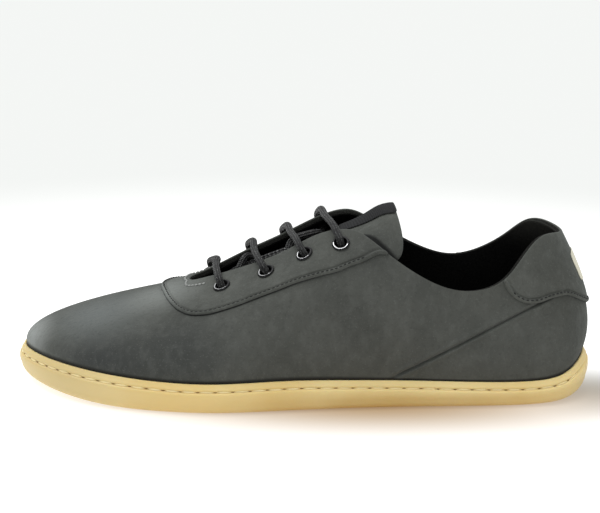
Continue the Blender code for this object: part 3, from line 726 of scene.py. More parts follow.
def make_gum(name, tread):
    """Pale gum rubber, slightly translucent. The underside's tread is a field of small studs."""
    made, shader, nodes, links = surface_material(name, GUM, 0.50)
    shader.inputs["Subsurface Weight"].default_value = 0.15
    shader.inputs["Subsurface Radius"].default_value = (0.6, 0.35, 0.12)
    shader.inputs["Subsurface Scale"].default_value = 0.004
    broad = spread(nodes, links, noise(nodes, links, 20, 3), 0.35, 0.68)
    colour = blend(nodes, links, broad, GUM, GUM_PALE)
    # painted shade on the toe's rubber
    colour = blend(nodes, links, near_point(nodes, links, *GUM_TOE_SHADE), colour, GUM_SHADED)
    links.new(colour, shader.inputs["Base Color"])
    mottle = add_bump(nodes, links, shader, noise(nodes, links, 500, 3), 0.00010)
    if tread:
        studs = nodes.new("ShaderNodeTexVoronoi")
        studs.inputs["Scale"].default_value = 1 / TREAD_PITCH
        studs.inputs["Randomness"].default_value = 0.0
        place = nodes.new("ShaderNodeTexCoord")
        links.new(place.outputs["Object"], studs.inputs["Vector"])
        round_stud = spread(nodes, links, studs.outputs["Distance"], 0.25, 0.45, 1, 0)
        add_bump(nodes, links, shader, round_stud, 0.0006, mottle)
    return made


GUM_RUBBER = make_gum("gum_rubber", tread=False)
GUM_TREAD = make_gum("gum_tread", tread=True)
print("rubber:", GUM_RUBBER.name, GUM_TREAD.name)

# %% [markdown]
# ## Cloth, metal and thread
# The lining is black fleece, which shows only as a fine fuzz, with a painted highlight at the top
# of the heel's inside. The small hard things, such as rings and threads, have one colour each, the
# eyelets' painted highlight aside. An uneven gloss is all that keeps them from looking like plastic.

# %% Cloth, metal and thread
# Painted highlight on the fleece at the top of the heel's inside: centre, size, share, and how much paler it
# is
FLEECE_LIT_PATCH = ((0.116, 0.016, 0.084), (0.034, 0.034, 0.022), 0.9)
LIT_PALER = 4


def make_cloth(name, colour, pale, scale, depth, lit_patch_and_rubbed_gloss=None):
    """Short black fleece or a tight weave, by noise at the cloth's own scale."""
    made, shader, nodes, links = surface_material(name, colour, 0.95)
    shader.inputs["Specular IOR Level"].default_value = 0.10
    fuzz = noise(nodes, links, scale, 3)
    mixed = blend(nodes, links, spread(nodes, links, fuzz, 0.40, 0.75), colour, pale)
    # a painted highlight where light falls into the heel
    if lit_patch_and_rubbed_gloss:
        near = near_point(nodes, links, *lit_patch_and_rubbed_gloss)
        mixed = blend(nodes, links, near, mixed, tuple(LIT_PALER * c for c in pale))
    links.new(mixed, shader.inputs["Base Color"])
    add_bump(nodes, links, shader, fuzz, depth)
    return made


def make_plain(name, colour, roughness, metallic=0.0, shine=0.5):
    """One colour with a slightly uneven gloss."""
    made, shader, nodes, links = surface_material(name, colour, roughness)
    shader.inputs["Metallic"].default_value = metallic
    shader.inputs["Specular IOR Level"].default_value = shine
    lit_patch_and_rubbed_gloss = spread(nodes, links, noise(nodes, links, 700, 2), 0.3, 0.7, roughness * 0.85, roughness * 1.15)
    links.new(lit_patch_and_rubbed_gloss, shader.inputs["Roughness"])
    return made


FLEECE = make_cloth("fleece", (0.003, 0.003, 0.003), (0.009, 0.009, 0.008), 1400, 0.0004, FLEECE_LIT_PATCH)
TONGUE_CLOTH = make_cloth("tongue_cloth", (0.005, 0.005, 0.005), (0.014, 0.014, 0.014), 1100, 0.0002)
INSOLE_CLOTH = make_cloth("insole_cloth", (0.006, 0.006, 0.006), (0.016, 0.016, 0.016), 900, 0.0002)
CUT_EDGE = make_cloth("cut_edge", (0.010, 0.010, 0.009), (0.026, 0.027, 0.024), 1600, 0.0001)
EYELET_BLACK = make_plain("eyelet_black", (0.004, 0.004, 0.005), 0.30, shine=0.25)
HIGHLIGHT_METAL = make_plain("highlight_metal", (0.560, 0.565, 0.570), 0.22, metallic=1.0)
SEAM_THREAD = make_plain("seam_thread", (0.008, 0.009, 0.008), 0.80)
PALE_THREAD = make_plain("pale_thread", (0.300, 0.310, 0.300), 0.80)
SOLE_THREAD = make_plain("sole_thread", (0.900, 0.760, 0.420), 0.60)
PINHOLE_SHADE = make_plain("pinhole_shade", (0.230, 0.120, 0.030), 0.80)
CREAM = make_plain("cream_tape", (0.720, 0.690, 0.560), 0.70)
print("finishes:", len(bpy.data.materials))

# %% [markdown]
# ## Ribbon and lace
# Woven goods repeat along their own length, so their pattern reads the piece's UV map: the ribbon
# has fine ribs across it, and the lace has the two crossing spirals of a round braid.

# %% Woven finishes
def waves(nodes, links, across, along):
    """A sine of the UV map: across and along are turns over the whole map."""
    place = nodes.new("ShaderNodeUVMap")
    place.uv_map = "UVMap"
    dot = nodes.new("ShaderNodeVectorMath")
    dot.operation = "DOT_PRODUCT"
    dot.inputs[1].default_value = (2 * math.pi * across, 2 * math.pi * along, 0)
    sine = nodes.new("ShaderNodeMath")
    sine.operation = "SINE"
    links.new(place.outputs[0], dot.inputs[0])
    links.new(dot.outputs["Value"], sine.inputs[0])
    return sine.outputs[0]


def multiply(nodes, links, first, second):
    """The product of two values, here the crossings of two sets of threads."""
    product = nodes.new("ShaderNodeMath")
    product.operation = "MULTIPLY"
    links.new(first, product.inputs[0])
    links.new(second, product.inputs[1])
    return product.outputs[0]


LACE_PICKS = 420
LACE_STRANDS = 4
RIBBON_RIBS = 26
RIBBON_PICKS = 30


def make_lace_braid():
    """Dark waxed cord: the bright grains on its strands are painted highlights, glints on the wax."""
    made, shader, nodes, links = surface_material("lace_braid", (0.035, 0.036, 0.036), 0.50)
    left = waves(nodes, links, LACE_PICKS, LACE_STRANDS)
    right = waves(nodes, links, LACE_PICKS, -LACE_STRANDS)
    braid = multiply(nodes, links, left, right)
    light = spread(nodes, links, braid, -0.2, 0.9)
    colour = blend(nodes, links, light, (0.004, 0.004, 0.005), (0.060, 0.062, 0.062))
    glint_specks = spread(nodes, links, noise(nodes, links, 1100, 2), 0.52, 0.62, 0, 1.0)
    bright = blend(nodes, links, light, (0.015, 0.016, 0.016), (0.300, 0.305, 0.305))
    links.new(blend(nodes, links, glint_specks, colour, bright), shader.inputs["Base Color"])
    add_bump(nodes, links, shader, braid, 0.0007)
    return made


def make_ribbon():
    """A black ribbon with fine ribs across it."""
    made, shader, nodes, links = surface_material("ribbon", (0.015, 0.015, 0.016), 0.70)
    ribs = waves(nodes, links, 0, RIBBON_RIBS)
    picks = waves(nodes, links, RIBBON_PICKS, 0)
    weave = spread(nodes, links, multiply(nodes, links, ribs, picks), -1, 1)
    colour = blend(nodes, links, weave, (0.007, 0.007, 0.008), (0.024, 0.025, 0.026))
    links.new(colour, shader.inputs["Base Color"])
    shader.inputs["Specular IOR Level"].default_value = 0.2
    add_bump(nodes, links, shader, ribs, 0.00006)
    return made


LACE_BRAID = make_lace_braid()
RIBBON = make_ribbon()
print("woven finishes:", LACE_BRAID.name, RIBBON.name)

# %% [markdown]
# ## The sole
# The cupsole is one moulding. Its side has three parts: a rounded lower wall, a groove for the
# stitches, and a slanted band up to the rim. Its outline is the upper's outline pushed out by a
# ledge, so the same profile is carried once round the shoe.

# %% Sole
SOLE_COLUMNS = 260
GROOVE_REACH = 0.0010
GROOVE_DEPTH = 0.0009
RIM_RADIUS = 0.0007
WALL_BULGE = 0.0005
EDGE_STEPS = 8
WALL_STEPS = 5
RIM_STEPS = 4
# Places across the groove, -1 at its lower edge to 1 at its upper edge, and up the band
GROOVE_PLACES = (-0.75, -0.5, -0.25, 0, 0.25, 0.5, 0.75, 1)
BAND_PLACES = (0.33, 0.66, 1)
TREAD_FACING = -0.99


def side_profile(turn):
    """Points (out, height, sprung) up the sole's side, from the underside to the cup's floor."""
    rim = outline(turn).z
    edge = OUTLINE_RING.at(turn)[3]
    groove = rim - BAND_HEIGHT
    rows = []
    for i in range(EDGE_STEPS + 1):
        angle = math.pi / 2 * i / EDGE_STEPS
        out = LEDGE - WALL_DRAFT - EDGE_SPREAD * edge * (1 - math.sin(angle))
        rows.append((out, edge * (1 - math.cos(angle)), True))
    lift = spring(beside(turn, LEDGE, 0).x)
    low = edge + lift
    high = groove - GROOVE_REACH
    for i in range(1, WALL_STEPS + 1):
        share = i / WALL_STEPS
        bulge = WALL_BULGE * math.sin(math.pi * share)
        out = LEDGE - WALL_DRAFT * (1 - share) + bulge
        rows.append((out, low + (high - low) * share, False))
    for share in GROOVE_PLACES:
        dip = GROOVE_DEPTH * math.cos(math.pi / 2 * share) ** 2
        slant = (LEDGE + BAND_LEDGE) / 2 - (LEDGE - BAND_LEDGE) / 2 * share
        rows.append((slant - dip, groove + share * GROOVE_REACH, False))
    top = rim - RIM_RADIUS
    for share in BAND_PLACES:
        out = BAND_LEDGE + (RIM_LEDGE - BAND_LEDGE) * share
        rows.append((out, groove + GROOVE_REACH + (top - groove - GROOVE_REACH) * share, False))
    for i in range(1, RIM_STEPS + 1):
        angle = math.pi / 2 * i / RIM_STEPS
        out = RIM_LEDGE - RIM_RADIUS * (1 - math.cos(angle))
        rows.append((out, top + RIM_RADIUS * math.sin(angle), False))
    rows.append((CLEARANCE, rim, False))
    rows.append((CLEARANCE - WALL_TUCK, FLOOR_THICKNESS, True))
    return rows


def make_sole():
    """The underside, the side and the cup as one closed moulding."""
    profiles = {}
    rows = len(side_profile(0)) + 1

    def place(across, up):
        turn = even_turn(across)
        row = round(up * rows)
        if turn not in profiles:
            profiles[turn] = side_profile(turn)
        if row == 0:
            return spine(turn, profiles[turn][0][0], 0)
        if row == rows:
            return spine(turn, CLEARANCE - WALL_TUCK, FLOOR_THICKNESS)
        out, height, sprung = profiles[turn][row - 1]
        return around(turn, out, height) if sprung else beside(turn, out, height)

    thing = make_object("sole_moulding", sheet(SOLE_COLUMNS, rows, place), GUM_RUBBER, GUM_TREAD)
    for face in thing.data.polygons:
        if face.normal.z < TREAD_FACING:
            face.material_index = 1
    return thing


sole = dress(make_sole(), "gum_rubber", "sole")

# %% [markdown]
# ## Seam and creases
# The closed seam of the lateral quarter is a narrow dark valley with a soft shoulder on each
# side, so the leather is first cut along lines beside it to give the valley clean edges. A worn
# shoe creases where the ball of the foot bends. Cloth simulation could find the folds, but placed
# troughs and ridges go exactly where the photograph has them. This shoe is nearly new, so they
# are shallow.

# %% Seam and creases
# The diagonal seam of the lateral quarter, from the sole to the heel patch: turn, rise
SEAM_FOOT = (0.209, 0.010)
SEAM_TOP = (0.066, 0.560)
SEAM_MIDDLE = (0.140, 0.560)

SEAM_GROOVE = 0.00065
SEAM_SHOULDER = 0.00045
SEAM_LINES = (-0.0040, -0.0028, -0.0019, -0.0013, -0.0009, -0.0006, -0.0003, 0.0)
SEAM_CUT = 0.0012
SEAM_SIDE = -0.015
SEAM_REACH = 0.006
SHOULDER_PLACE = 0.0016
SHOULDER_WIDTH = 0.0010
# Where the seam starts and stops, as shares of its length, and how fast it fades there
SEAM_ENDS = (-0.03, 1.08)
SEAM_FADE = 12

# Creases: turn and rise of both ends, half width, depth inwards (negative is a ridge)
CREASES = (
    (0.398, 0.60, 0.392, 0.34, 0.0016, 0.00030),
    (0.390, 0.58, 0.381, 0.30, 0.0014, 0.00034),
    (0.381, 0.55, 0.372, 0.26, 0.0015, 0.00028),
    (0.372, 0.52, 0.366, 0.30, 0.0014, 0.00020),
    (0.415, 0.66, 0.428, 0.30, 0.0060, 0.00055),
    (0.440, 0.60, 0.452, 0.20, 0.0070, -0.00045),
    (0.352, 0.42, 0.330, 0.14, 0.0090, 0.00060),
    (0.300, 0.55, 0.262, 0.22, 0.0100, 0.00055),
    (0.230, 0.62, 0.200, 0.30, 0.0100, -0.00045),
    (0.150, 0.80, 0.105, 0.62, 0.0050, 0.00045),
    (0.126, 0.55, 0.084, 0.30, 0.0080, -0.00035),
    (0.634, 0.60, 0.650, 0.26, 0.0018, 0.00035),
    (0.645, 0.57, 0.662, 0.24, 0.0017, 0.00030),
    (0.600, 0.66, 0.590, 0.25, 0.0060, 0.00050),
    (0.700, 0.50, 0.740, 0.18, 0.0090, 0.00060),
    (0.800, 0.60, 0.850, 0.25, 0.0100, 0.00050),
)
CREASE_ENDS = (0.02, 0.98)
CREASE_FADE = 0.7


def surface_line(start, end, steps=16):
    """Points on the upper between two places given as (turn, rise)."""
    start, end = np.array(start), np.array(end)
    return [skin(*(start + (end - start) * i / steps)) for i in range(steps + 1)]


def seam_plane():
    """The seam's middle point, its direction, and the direction square to it on the leather."""
    foot = skin(*SEAM_FOOT)
    top = skin(*SEAM_TOP)
    middle = skin(*SEAM_MIDDLE)
    along = (top - foot).normalized()
    out = skin_frame(*SEAM_MIDDLE)[2]
    return (foot + middle + top) / 3, along, along.cross(out).normalized(), foot, top


def press_seam(bm):
    """Cut lines beside the seam and sink it, fading at both ends."""
    centre, along, square, foot, top = seam_plane()
    for shift in sorted({*SEAM_LINES, *(-s for s in SEAM_LINES)}):
        faces = [f for f in bm.faces if f.calc_center_median().y < SEAM_SIDE
                 and abs((f.calc_center_median() - centre).dot(square)) < SEAM_REACH]
        edges = {e for f in faces for e in f.edges}
        points = {v for f in faces for v in f.verts}
        bmesh.ops.bisect_plane(
            bm, geom=list(points) + list(edges) + faces, dist=0.000002,
            plane_co=centre + shift * square, plane_no=square,
        )
    bm.normal_update()
    for vert in bm.verts:
        if vert.co.y > SEAM_SIDE:
            continue
        gap = (vert.co - centre).dot(square)
        share = (vert.co - foot).dot(along) / (top - foot).length
        if abs(gap) > SEAM_REACH or not SEAM_ENDS[0] < share < SEAM_ENDS[1]:
            continue
        ease = min(1, SEAM_FADE * (share - SEAM_ENDS[0]), SEAM_FADE * (SEAM_ENDS[1] - share))
        valley = math.exp(-(gap / SEAM_GROOVE) ** 2)
        shoulder = math.exp(-((abs(gap) - SHOULDER_PLACE) / SHOULDER_WIDTH) ** 2)
        vert.co += ease * (SEAM_SHOULDER * shoulder - SEAM_CUT * valley) * vert.normal


def press_creases(bm):
    """Press every crease of the table into the leather, fading at its ends."""
    for turn, rise, end_turn, end_rise, width, depth in CREASES:
        path = surface_line((turn, rise), (end_turn, end_rise))

        def depth_at(gap, place):
            fade = np.sin(np.pi * np.clip(place, *CREASE_ENDS)) ** CREASE_FADE
            return -depth * fade * np.exp(-(gap / width) ** 2)

        press(bm, path, depth_at)


print("creases:", len(CREASES), "and a seam", round((seam_plane()[4] - seam_plane()[3]).length, 4), "m long")

# %% [markdown]
# ## The upper and its lining
# The part has the upper as one wall. A real one is leather outside and fleece inside, glued and
# trimmed at the collar, where the cut edge of the leather is dyed darker. So one fine sheet
# follows the surface from the sole to the opening for the leather, and a coarser one lies inside
# it for the lining. Both are cut by the eyelets' drill in the next step.

# %% Upper
LEATHER = 0.0015
UPPER_COLUMNS = 420
UPPER_ROWS = 62
OPENING_ROUND = 0.0006
LINING_COLUMNS = 220
LINING_ROWS = 44
LINING_TOP = 0.997
LINING_GAP = 0.00005
LINING_ROUND = 0.0002


def upper_sheet(columns, rows, top=1.0):
    """The upper's outer face, tucked into the cup at its foot, up to a share of its height."""

    def place(across, up):
        turn = even_turn(across)
        if up < 0.5 / rows:
            return around(turn, -WALL_TUCK, FLOOR_THICKNESS + CLEARANCE)
        return skin(turn, top * (up - 1 / rows) / (1 - 1 / rows))

    return sheet(columns, rows, place)


def make_upper(drill):
    """The outer leather, with its seam, creases, dyed edge and holes."""
    bm = upper_sheet(UPPER_COLUMNS, UPPER_ROWS)
    press_creases(bm)
    press_seam(bm)
    thing = make_object("upper_leather", bm, NUBUCK, CUT_EDGE)
    add_wall(thing, LEATHER, -1)
    round_edges(thing, OPENING_ROUND)
    settle(thing)
    ink_top_edge(thing)
    cut_holes(thing, drill)
    return thing


def make_lining(drill):
    """The fleece inside the leather, trimmed just below its edge."""
    bm = upper_sheet(LINING_COLUMNS, LINING_ROWS, LINING_TOP)
    bm.normal_update()
    for vert in bm.verts:
        vert.co -= (LEATHER + LINING_GAP) * vert.normal
    thing = make_object("collar_lining", bm, FLEECE)
    add_wall(thing, WALL - LEATHER - LINING_GAP, -1)
    round_edges(thing, LINING_ROUND, segments=2)
    settle(thing)
    cut_holes(thing, drill)
    return thing


print("leather", LEATHER, "m and fleece", round(WALL - LEATHER - LINING_GAP, 5), "m thick")

# %% [markdown]
# ## Eyelets
# Each eyelet is a metal ring turned from one profile and set through the eyestay, the leather
# and the lining. The same rods that place the rings drill the holes, so they always agree.

# %% Eyelets
LACE_DIAMETER = 0.0036
LACE_PLAY = 0.0010
EYELET_WALL = 0.0004
EYELET_FLANGE = 0.0012
EYELET_BACK = 0.0006
EYELET_SEAT = 0.0006
EYELET_GRIP = 0.0010
EYELET_HEIGHT = 0.0007
BORE = LACE_DIAMETER / 2 + LACE_PLAY
BARREL = BORE + EYELET_WALL
EYELET_TOP = CLEARANCE + OVERLAY_THICKNESS + EYELET_SEAT + EYELET_HEIGHT
EYELET_LOW = -WALL - EYELET_GRIP - EYELET_BACK
LACE_LOW = EYELET_LOW - CLEARANCE - LACE_DIAMETER / 2
LACE_ROOM = -LACE_LOW - WALL + LACE_DIAMETER / 2 + 2 * CLEARANCE
EYELET_SINK = 0.0005
FLANGE_STEPS = 9
RING_STEPS = 36
RING_CREASE = 60
DRILL_SIDES = 24
DRILL_PLAY = 0.0001
DRILL_DEPTH = 0.010
# The flange's crown carries a painted highlight of bright metal on the lower half of the ring: reach
# beyond the bore, height over the leather, and how far below the ring's middle the highlight starts
HIGHLIGHT_BAND = (0.00035, 0.00105)
HIGHLIGHT_LEVEL = EYELET_TOP - EYELET_SINK - EYELET_HEIGHT
HIGHLIGHT_LOW = 0.0006

# Eyelets from the toe to the top: lateral turn, medial turn, rise
EYELETS = (
    (0.361, 0.640, 0.822),
    (0.325, 0.683, 0.846),
    (0.293, 0.716, 0.852),
    (0.267, 0.743, 0.878),
)


def eyelet_places():
    """Names and frames of the eyelets, lateral then medial, from the toe up."""
    places = []
    for side, column in (("lateral", 0), ("medial", 1)):
        for i, row in enumerate(EYELETS):
            places.append((f"eyelet_{side}_{i + 1}", *skin_frame(row[column], row[2])))
    return places


def axes_matrix(point, forward, out):
    """A placement whose local Z is the outward direction."""
    turned = Matrix((forward, out.cross(forward), out)).transposed()
    return Matrix.Translation(point) @ turned.to_4x4()


def make_drill():
    """Eight rods through the eyelets' places, for cutting holes."""
    bm = bmesh.new()
    for _, *frame_at in eyelet_places():
        bmesh.ops.create_cone(
            bm, cap_ends=True, segments=DRILL_SIDES, radius1=BARREL + DRILL_PLAY,
            radius2=BARREL + DRILL_PLAY, depth=DRILL_DEPTH, matrix=axes_matrix(*frame_at),
        )
    thing = make_object("eyelet_drill", bm)
    thing.hide_render = True
    return thing


def cut_holes(thing, drill):
    """Drill a panel at every eyelet."""
    hole = thing.modifiers.new("holes", "BOOLEAN")
    hole.operation = "DIFFERENCE"
    hole.solver = "EXACT"
    hole.object = drill
    settle(thing)


def ring_profile():
    """(radius, height) points round an eyelet's section: rolled flange, barrel and back."""
    seat = EYELET_TOP - EYELET_HEIGHT - EYELET_SINK
    top = EYELET_TOP - EYELET_SINK
    points = [(BARREL, EYELET_LOW + EYELET_BACK), (BARREL, seat), (BARREL + EYELET_FLANGE, seat)]
    middle = (BORE + BARREL + EYELET_FLANGE) / 2
    half = (BARREL + EYELET_FLANGE - BORE) / 2
    for i in range(1, FLANGE_STEPS):
        angle = math.pi * i / FLANGE_STEPS
        points.append((middle + half * math.cos(angle), seat + EYELET_HEIGHT * math.sin(angle)))
    points += [(BORE, top - EYELET_HEIGHT), (BORE, EYELET_LOW), (BARREL + EYELET_BACK, EYELET_LOW),
               (BARREL + EYELET_BACK, EYELET_LOW + EYELET_BACK)]
    return points


def make_eyelet(name, matrix):
    """A ring spun from its profile, with a painted highlight of bright metal on the lower half of its crown.
    """
    bm = bmesh.new()
    verts = [bm.verts.new((radius, 0, height)) for radius, height in ring_profile()]
    loop = verts + verts[:1]
    edges = [bm.edges.new(pair) for pair in zip(loop, loop[1:])]
    bmesh.ops.spin(
        bm, geom=verts + edges, cent=(0, 0, 0), axis=(0, 0, 1),
        angle=2 * math.pi, steps=RING_STEPS, use_merge=True,
    )
    bmesh.ops.remove_doubles(bm, verts=bm.verts, dist=WELD / 10)
    bmesh.ops.recalc_face_normals(bm, faces=bm.faces)
    bmesh.ops.transform(bm, matrix=matrix, verts=bm.verts)
    thing = make_object(name + "_ring", bm, EYELET_BLACK, HIGHLIGHT_METAL)
    flange = matrix @ Vector((0, 0, EYELET_TOP))
    # faces of the painted highlight: bright metal on the lower half of the crown
    for face in thing.data.polygons:
        local = matrix.inverted() @ face.center
        crest = HIGHLIGHT_BAND[0] < local.xy.length - BORE < HIGHLIGHT_BAND[1] and local.z > HIGHLIGHT_LEVEL
        if crest and (face.center - flange).z < -HIGHLIGHT_LOW:
            face.material_index = 1
    thing.data.set_sharp_from_angle(angle=math.radians(RING_CREASE))
    return thing


drill = make_drill()
for name, *place in eyelet_places():
    dress(make_eyelet(name, axes_matrix(*place)), "eyelet_metal", name)
dress(make_upper(drill), "nubuck", "upper")
dress(make_lining(drill), "lining")

# %% [markdown]
# ## Overlays
# The eyestay and the heel patch are second layers of the same leather. Their lower edge is turned
# under, so it is round and plump, and the stitches pull a channel a couple of millimetres in from
# it. All of that is one height over the shoe, read from the distance to the panel's edge. The
# panel is closed: up its flat back, round its edge, over its front and round its top.

# %% Overlays
# Lower edge of the eyestay: turn, rise. The medial half mirrors the lateral one at the toe.
EYESTAY_EDGE = (
    (0.226, 0.985),
    (0.232, 0.945),
    (0.240, 0.845),
    (0.256, 0.717),
    (0.277, 0.655),
    (0.300, 0.630),
    (0.324, 0.614),
    (0.343, 0.570),
    (0.359, 0.534),
    (0.373, 0.539),
    (0.391, 0.596),
    (0.412, 0.676),
    (0.440, 0.760),
    (0.474, 0.820),
    (0.512, 0.840),
)

# Lower edge of the heel patch: turn, rise. The medial half mirrors it behind the heel.
PATCH_EDGE = (
    (0.000, 0.378),
    (0.008, 0.386),
    (0.021, 0.438),
    (0.038, 0.523),
    (0.058, 0.556),
    (0.078, 0.587),
    (0.092, 0.655),
    (0.102, 0.754),
    (0.109, 0.856),
    (0.114, 0.965),
)

LIP = 0.00045
LIP_PLACE = 0.0011
LIP_WIDTH = 0.0007
EDGE_ROUND = 0.0009
CHANNEL = 0.00055
CHANNEL_WIDTH = 0.00050
STITCH_INSET = 0.0024
BACK_ROWS = 4
FRONT_ROWS = 50
TURN_ROWS = 4
EDGE_CROWDING = 1.7
LIFT = 0.00005
EYESTAY_COLUMNS = 420
PATCH_COLUMNS = 180


def edge_path(rows, turns):
    """Points along a panel's lower edge, at turns given as (turn, table turn)."""
    return [skin(turn, smooth_through(rows, rise_turn)) for turn, rise_turn in turns]


def gap_finder(path):
    """A function that gives a point's distance to a chain of points."""
    chain = np.array([tuple(p) for p in path])
    starts, runs = chain[:-1], np.diff(chain, axis=0)
    squares = (runs ** 2).sum(1)

    def gap(point):
        offset = np.array(point) - starts
        share = np.clip((offset * runs).sum(1) / squares, 0, 1)
        return math.sqrt(((offset - share[:, None] * runs) ** 2).sum(1).min())

    return gap


def overlay_height(gap):
    """The panel's face over the shoe: a quarter round, a lip, then the stitch channel."""
    rise = math.sqrt(max(0, 1 - (1 - min(gap / EDGE_ROUND, 1)) ** 2))
    lip = LIP * rise * bump(gap, LIP_PLACE, LIP_WIDTH)
    return float(OVERLAY_THICKNESS * rise + lip - CHANNEL * bump(gap, STITCH_INSET, CHANNEL_WIDTH))


def make_overlay(name, columns, edge_rows, turn_at, drill=None):
    """A closed panel between a lower edge and the opening. turn_at(share): turn, table turn."""
    rows = BACK_ROWS + FRONT_ROWS + TURN_ROWS
    half = OVERLAY_THICKNESS / 2
    gap = gap_finder(edge_path(edge_rows, [turn_at(i / columns) for i in range(columns + 1)]))

    def place(across, up):
        turn, table_turn = turn_at(across)
        low = smooth_through(edge_rows, table_turn)
        high = max(low, 1 - half / section(turn)[1][-1])
        row = round(up * rows)
        if row <= BACK_ROWS:
            point, _, out = skin_frame(turn, high - (high - low) * row / BACK_ROWS)
            return point + LIFT * out
        share = min(1, (row - BACK_ROWS) / FRONT_ROWS) ** EDGE_CROWDING
        point, forward, out = skin_frame(turn, low + (high - low) * share)
        height = overlay_height(gap(point))
        angle = math.pi * max(0, row - BACK_ROWS - FRONT_ROWS) / TURN_ROWS
        beyond = half * math.sin(angle) * forward.cross(out)
        return point + beyond + (LIFT + height * (1 + math.cos(angle)) / 2) * out

    bm = sheet(columns, rows, place)
    bmesh.ops.holes_fill(bm, edges=[e for e in bm.edges if e.is_boundary], sides=0)
    thing = make_object(name, bm, NUBUCK_TRIM)
    if drill:
        cut_holes(thing, drill)
    return thing


def eyestay_turn(share):
    """The turn at a share of the way along the eyestay's edge, and the table's turn for it."""
    first = EYESTAY_EDGE[0][0]
    turn = first + 2 * (TOE_TURN - first) * share
    return turn, TOE_TURN - abs(TOE_TURN - turn)


def patch_turn(share):
    """The same for the heel patch."""
    last = PATCH_EDGE[-1][0]
    turn = -last + 2 * last * share
    return turn, abs(turn)


eyestay = make_overlay("eyestay_leather", EYESTAY_COLUMNS, EYESTAY_EDGE, eyestay_turn, drill)
heel_patch = make_overlay("heel_patch_leather", PATCH_COLUMNS, PATCH_EDGE, patch_turn)
dress(eyestay, "nubuck", "eyestay")
dress(heel_patch, "nubuck", "heel_patch")
bpy.data.objects.remove(drill, do_unlink=True)

# %% [markdown]
# ## Stitches
# A stitch is a short thread, pulled tight at both ends. Hundreds of them are copies of one small
# squashed ball, laid at even steps along a line. Each finds the finished surface under it, so
# that it lies on the leather and not in the air.

# %% Stitches
STITCH_START = 0.0025
STITCH_SIDES = 8
STITCH_RINGS = 5
AHEAD = 0.0005


def even_points(path, pitch):
    """Points and directions at even steps along a chain of points."""
    path = np.array([tuple(p) for p in path])
    along = lengths_along(path)
    count = max(2, round(along[-1] / pitch))
    marks = (np.arange(count) + 0.5) * along[-1] / count
    found = np.array([np.interp(marks, along, path[:, axis]) for axis in range(3)]).T
    ahead = np.array([np.interp(marks + AHEAD, along, path[:, axis]) for axis in range(3)]).T
    return [(Vector(p), (Vector(q) - Vector(p)).normalized()) for p, q in zip(found, ahead)]


def surface_tree(thing):
    """A piece's faces, ready to find the nearest one."""
    bm = bmesh.new()
    bm.from_mesh(thing.data)
    tree = BVHTree.FromBMesh(bm)
    bm.free()
    return tree


def sew(bm, carrier, spots, length, width, height, lift):
    """Lay a squashed ball on the carrier at each spot, along the spot's direction."""
    for point, run in spots:
        place, out, _, _ = carrier.find_nearest(point)
        run = (run - run.dot(out) * out).normalized()
        matrix = axes_matrix(place + lift * out, run, out)
        matrix @= Matrix.Diagonal((length / 2, width / 2, height / 2, 1))
        bmesh.ops.create_uvsphere(
            bm, u_segments=STITCH_SIDES, v_segments=STITCH_RINGS, radius=1, matrix=matrix,
        )


def inset_path(rows, turns, inset):
    """The panel's edge moved inwards over the leather by inset."""
    edge = edge_path(rows, turns)
    moved = []
    for i in range(1, len(edge) - 1):
        turn, table_turn = turns[i]
        run = (edge[i + 1] - edge[i - 1]).normalized()
        out = skin_frame(turn, min(smooth_through(rows, table_turn), 0.99))[2]
        moved.append(edge[i] + inset * run.cross(out).normalized() + STITCH_START * out)
    return moved


EYESTAY_TURNS = [eyestay_turn(i / 300) for i in range(301)]
PATCH_TURNS = [patch_turn(i / 160) for i in range(161)]
OVERLAY_PITCH = 0.0023
# Sizes of a stitch: length, width, height, lift over the leather
OVERLAY_STITCH = (0.0017, 0.0008, 0.0006, 0.00005)


def make_overlay_stitches(name, carrier, rows, turns, bare):
    """The row in a panel's channel, leaving a few steps bare at both ends."""
    path = inset_path(rows, turns, STITCH_INSET)[bare:-bare]
    bm = bmesh.new()
    sew(bm, surface_tree(carrier), even_points(path, OVERLAY_PITCH), *OVERLAY_STITCH)
    return make_object(name, bm, SEAM_THREAD)


dress(make_overlay_stitches("eyestay_stitches", eyestay, EYESTAY_EDGE, EYESTAY_TURNS, 6), "nubuck")
dress(make_overlay_stitches("heel_patch_stitches", heel_patch, PATCH_EDGE, PATCH_TURNS, 4), "nubuck")

# %% [markdown]
# ## The throat's stitches
# The front of the throat takes the pull of the lace, so a paler, closer row is sewn round it. It
# runs near the edge at the front and drifts away from it along both sides.

# %% Throat stitches
THROAT_FRONT = 0.0024
THROAT_SIDE = 0.0072
THROAT_EASE = (0.040, 0.050)
THROAT_STITCH_TURN = 0.385
THROAT_PITCH = 0.0020
THROAT_STITCH = (0.0019, 0.0014, 0.0010, 0.0002)


def make_throat_stitches(steps=60):
    """The pale reinforcing row that runs round the front of the throat."""
    turns = np.linspace(THROAT_STITCH_TURN, mirror_turn(THROAT_STITCH_TURN), steps)
    path = []
    for turn in turns:
        share = min(1, max(0, abs(turn - TOE_TURN) - THROAT_EASE[0]) / THROAT_EASE[1])
        inset = THROAT_FRONT + (THROAT_SIDE - THROAT_FRONT) * share * share * (3 - 2 * share)
        point, _, out = skin_frame(turn, 1 - inset / section(turn)[1][-1])
        path.append(point + STITCH_START * out)
    bm = bmesh.new()
    sew(bm, surface_tree(eyestay), even_points(path, THROAT_PITCH), *THROAT_STITCH)
    return make_object("throat_stitches", bm, PALE_THREAD)


dress(make_throat_stitches(), "nubuck")

# %% [markdown]
# ## The sole's stitches
# A cupsole is sewn to the upper through its groove, in long gum-coloured stitches. What shows
# from a distance is the dark pinhole between two of them, here a small dark ball of painted shade. The back
# of the heel has none.

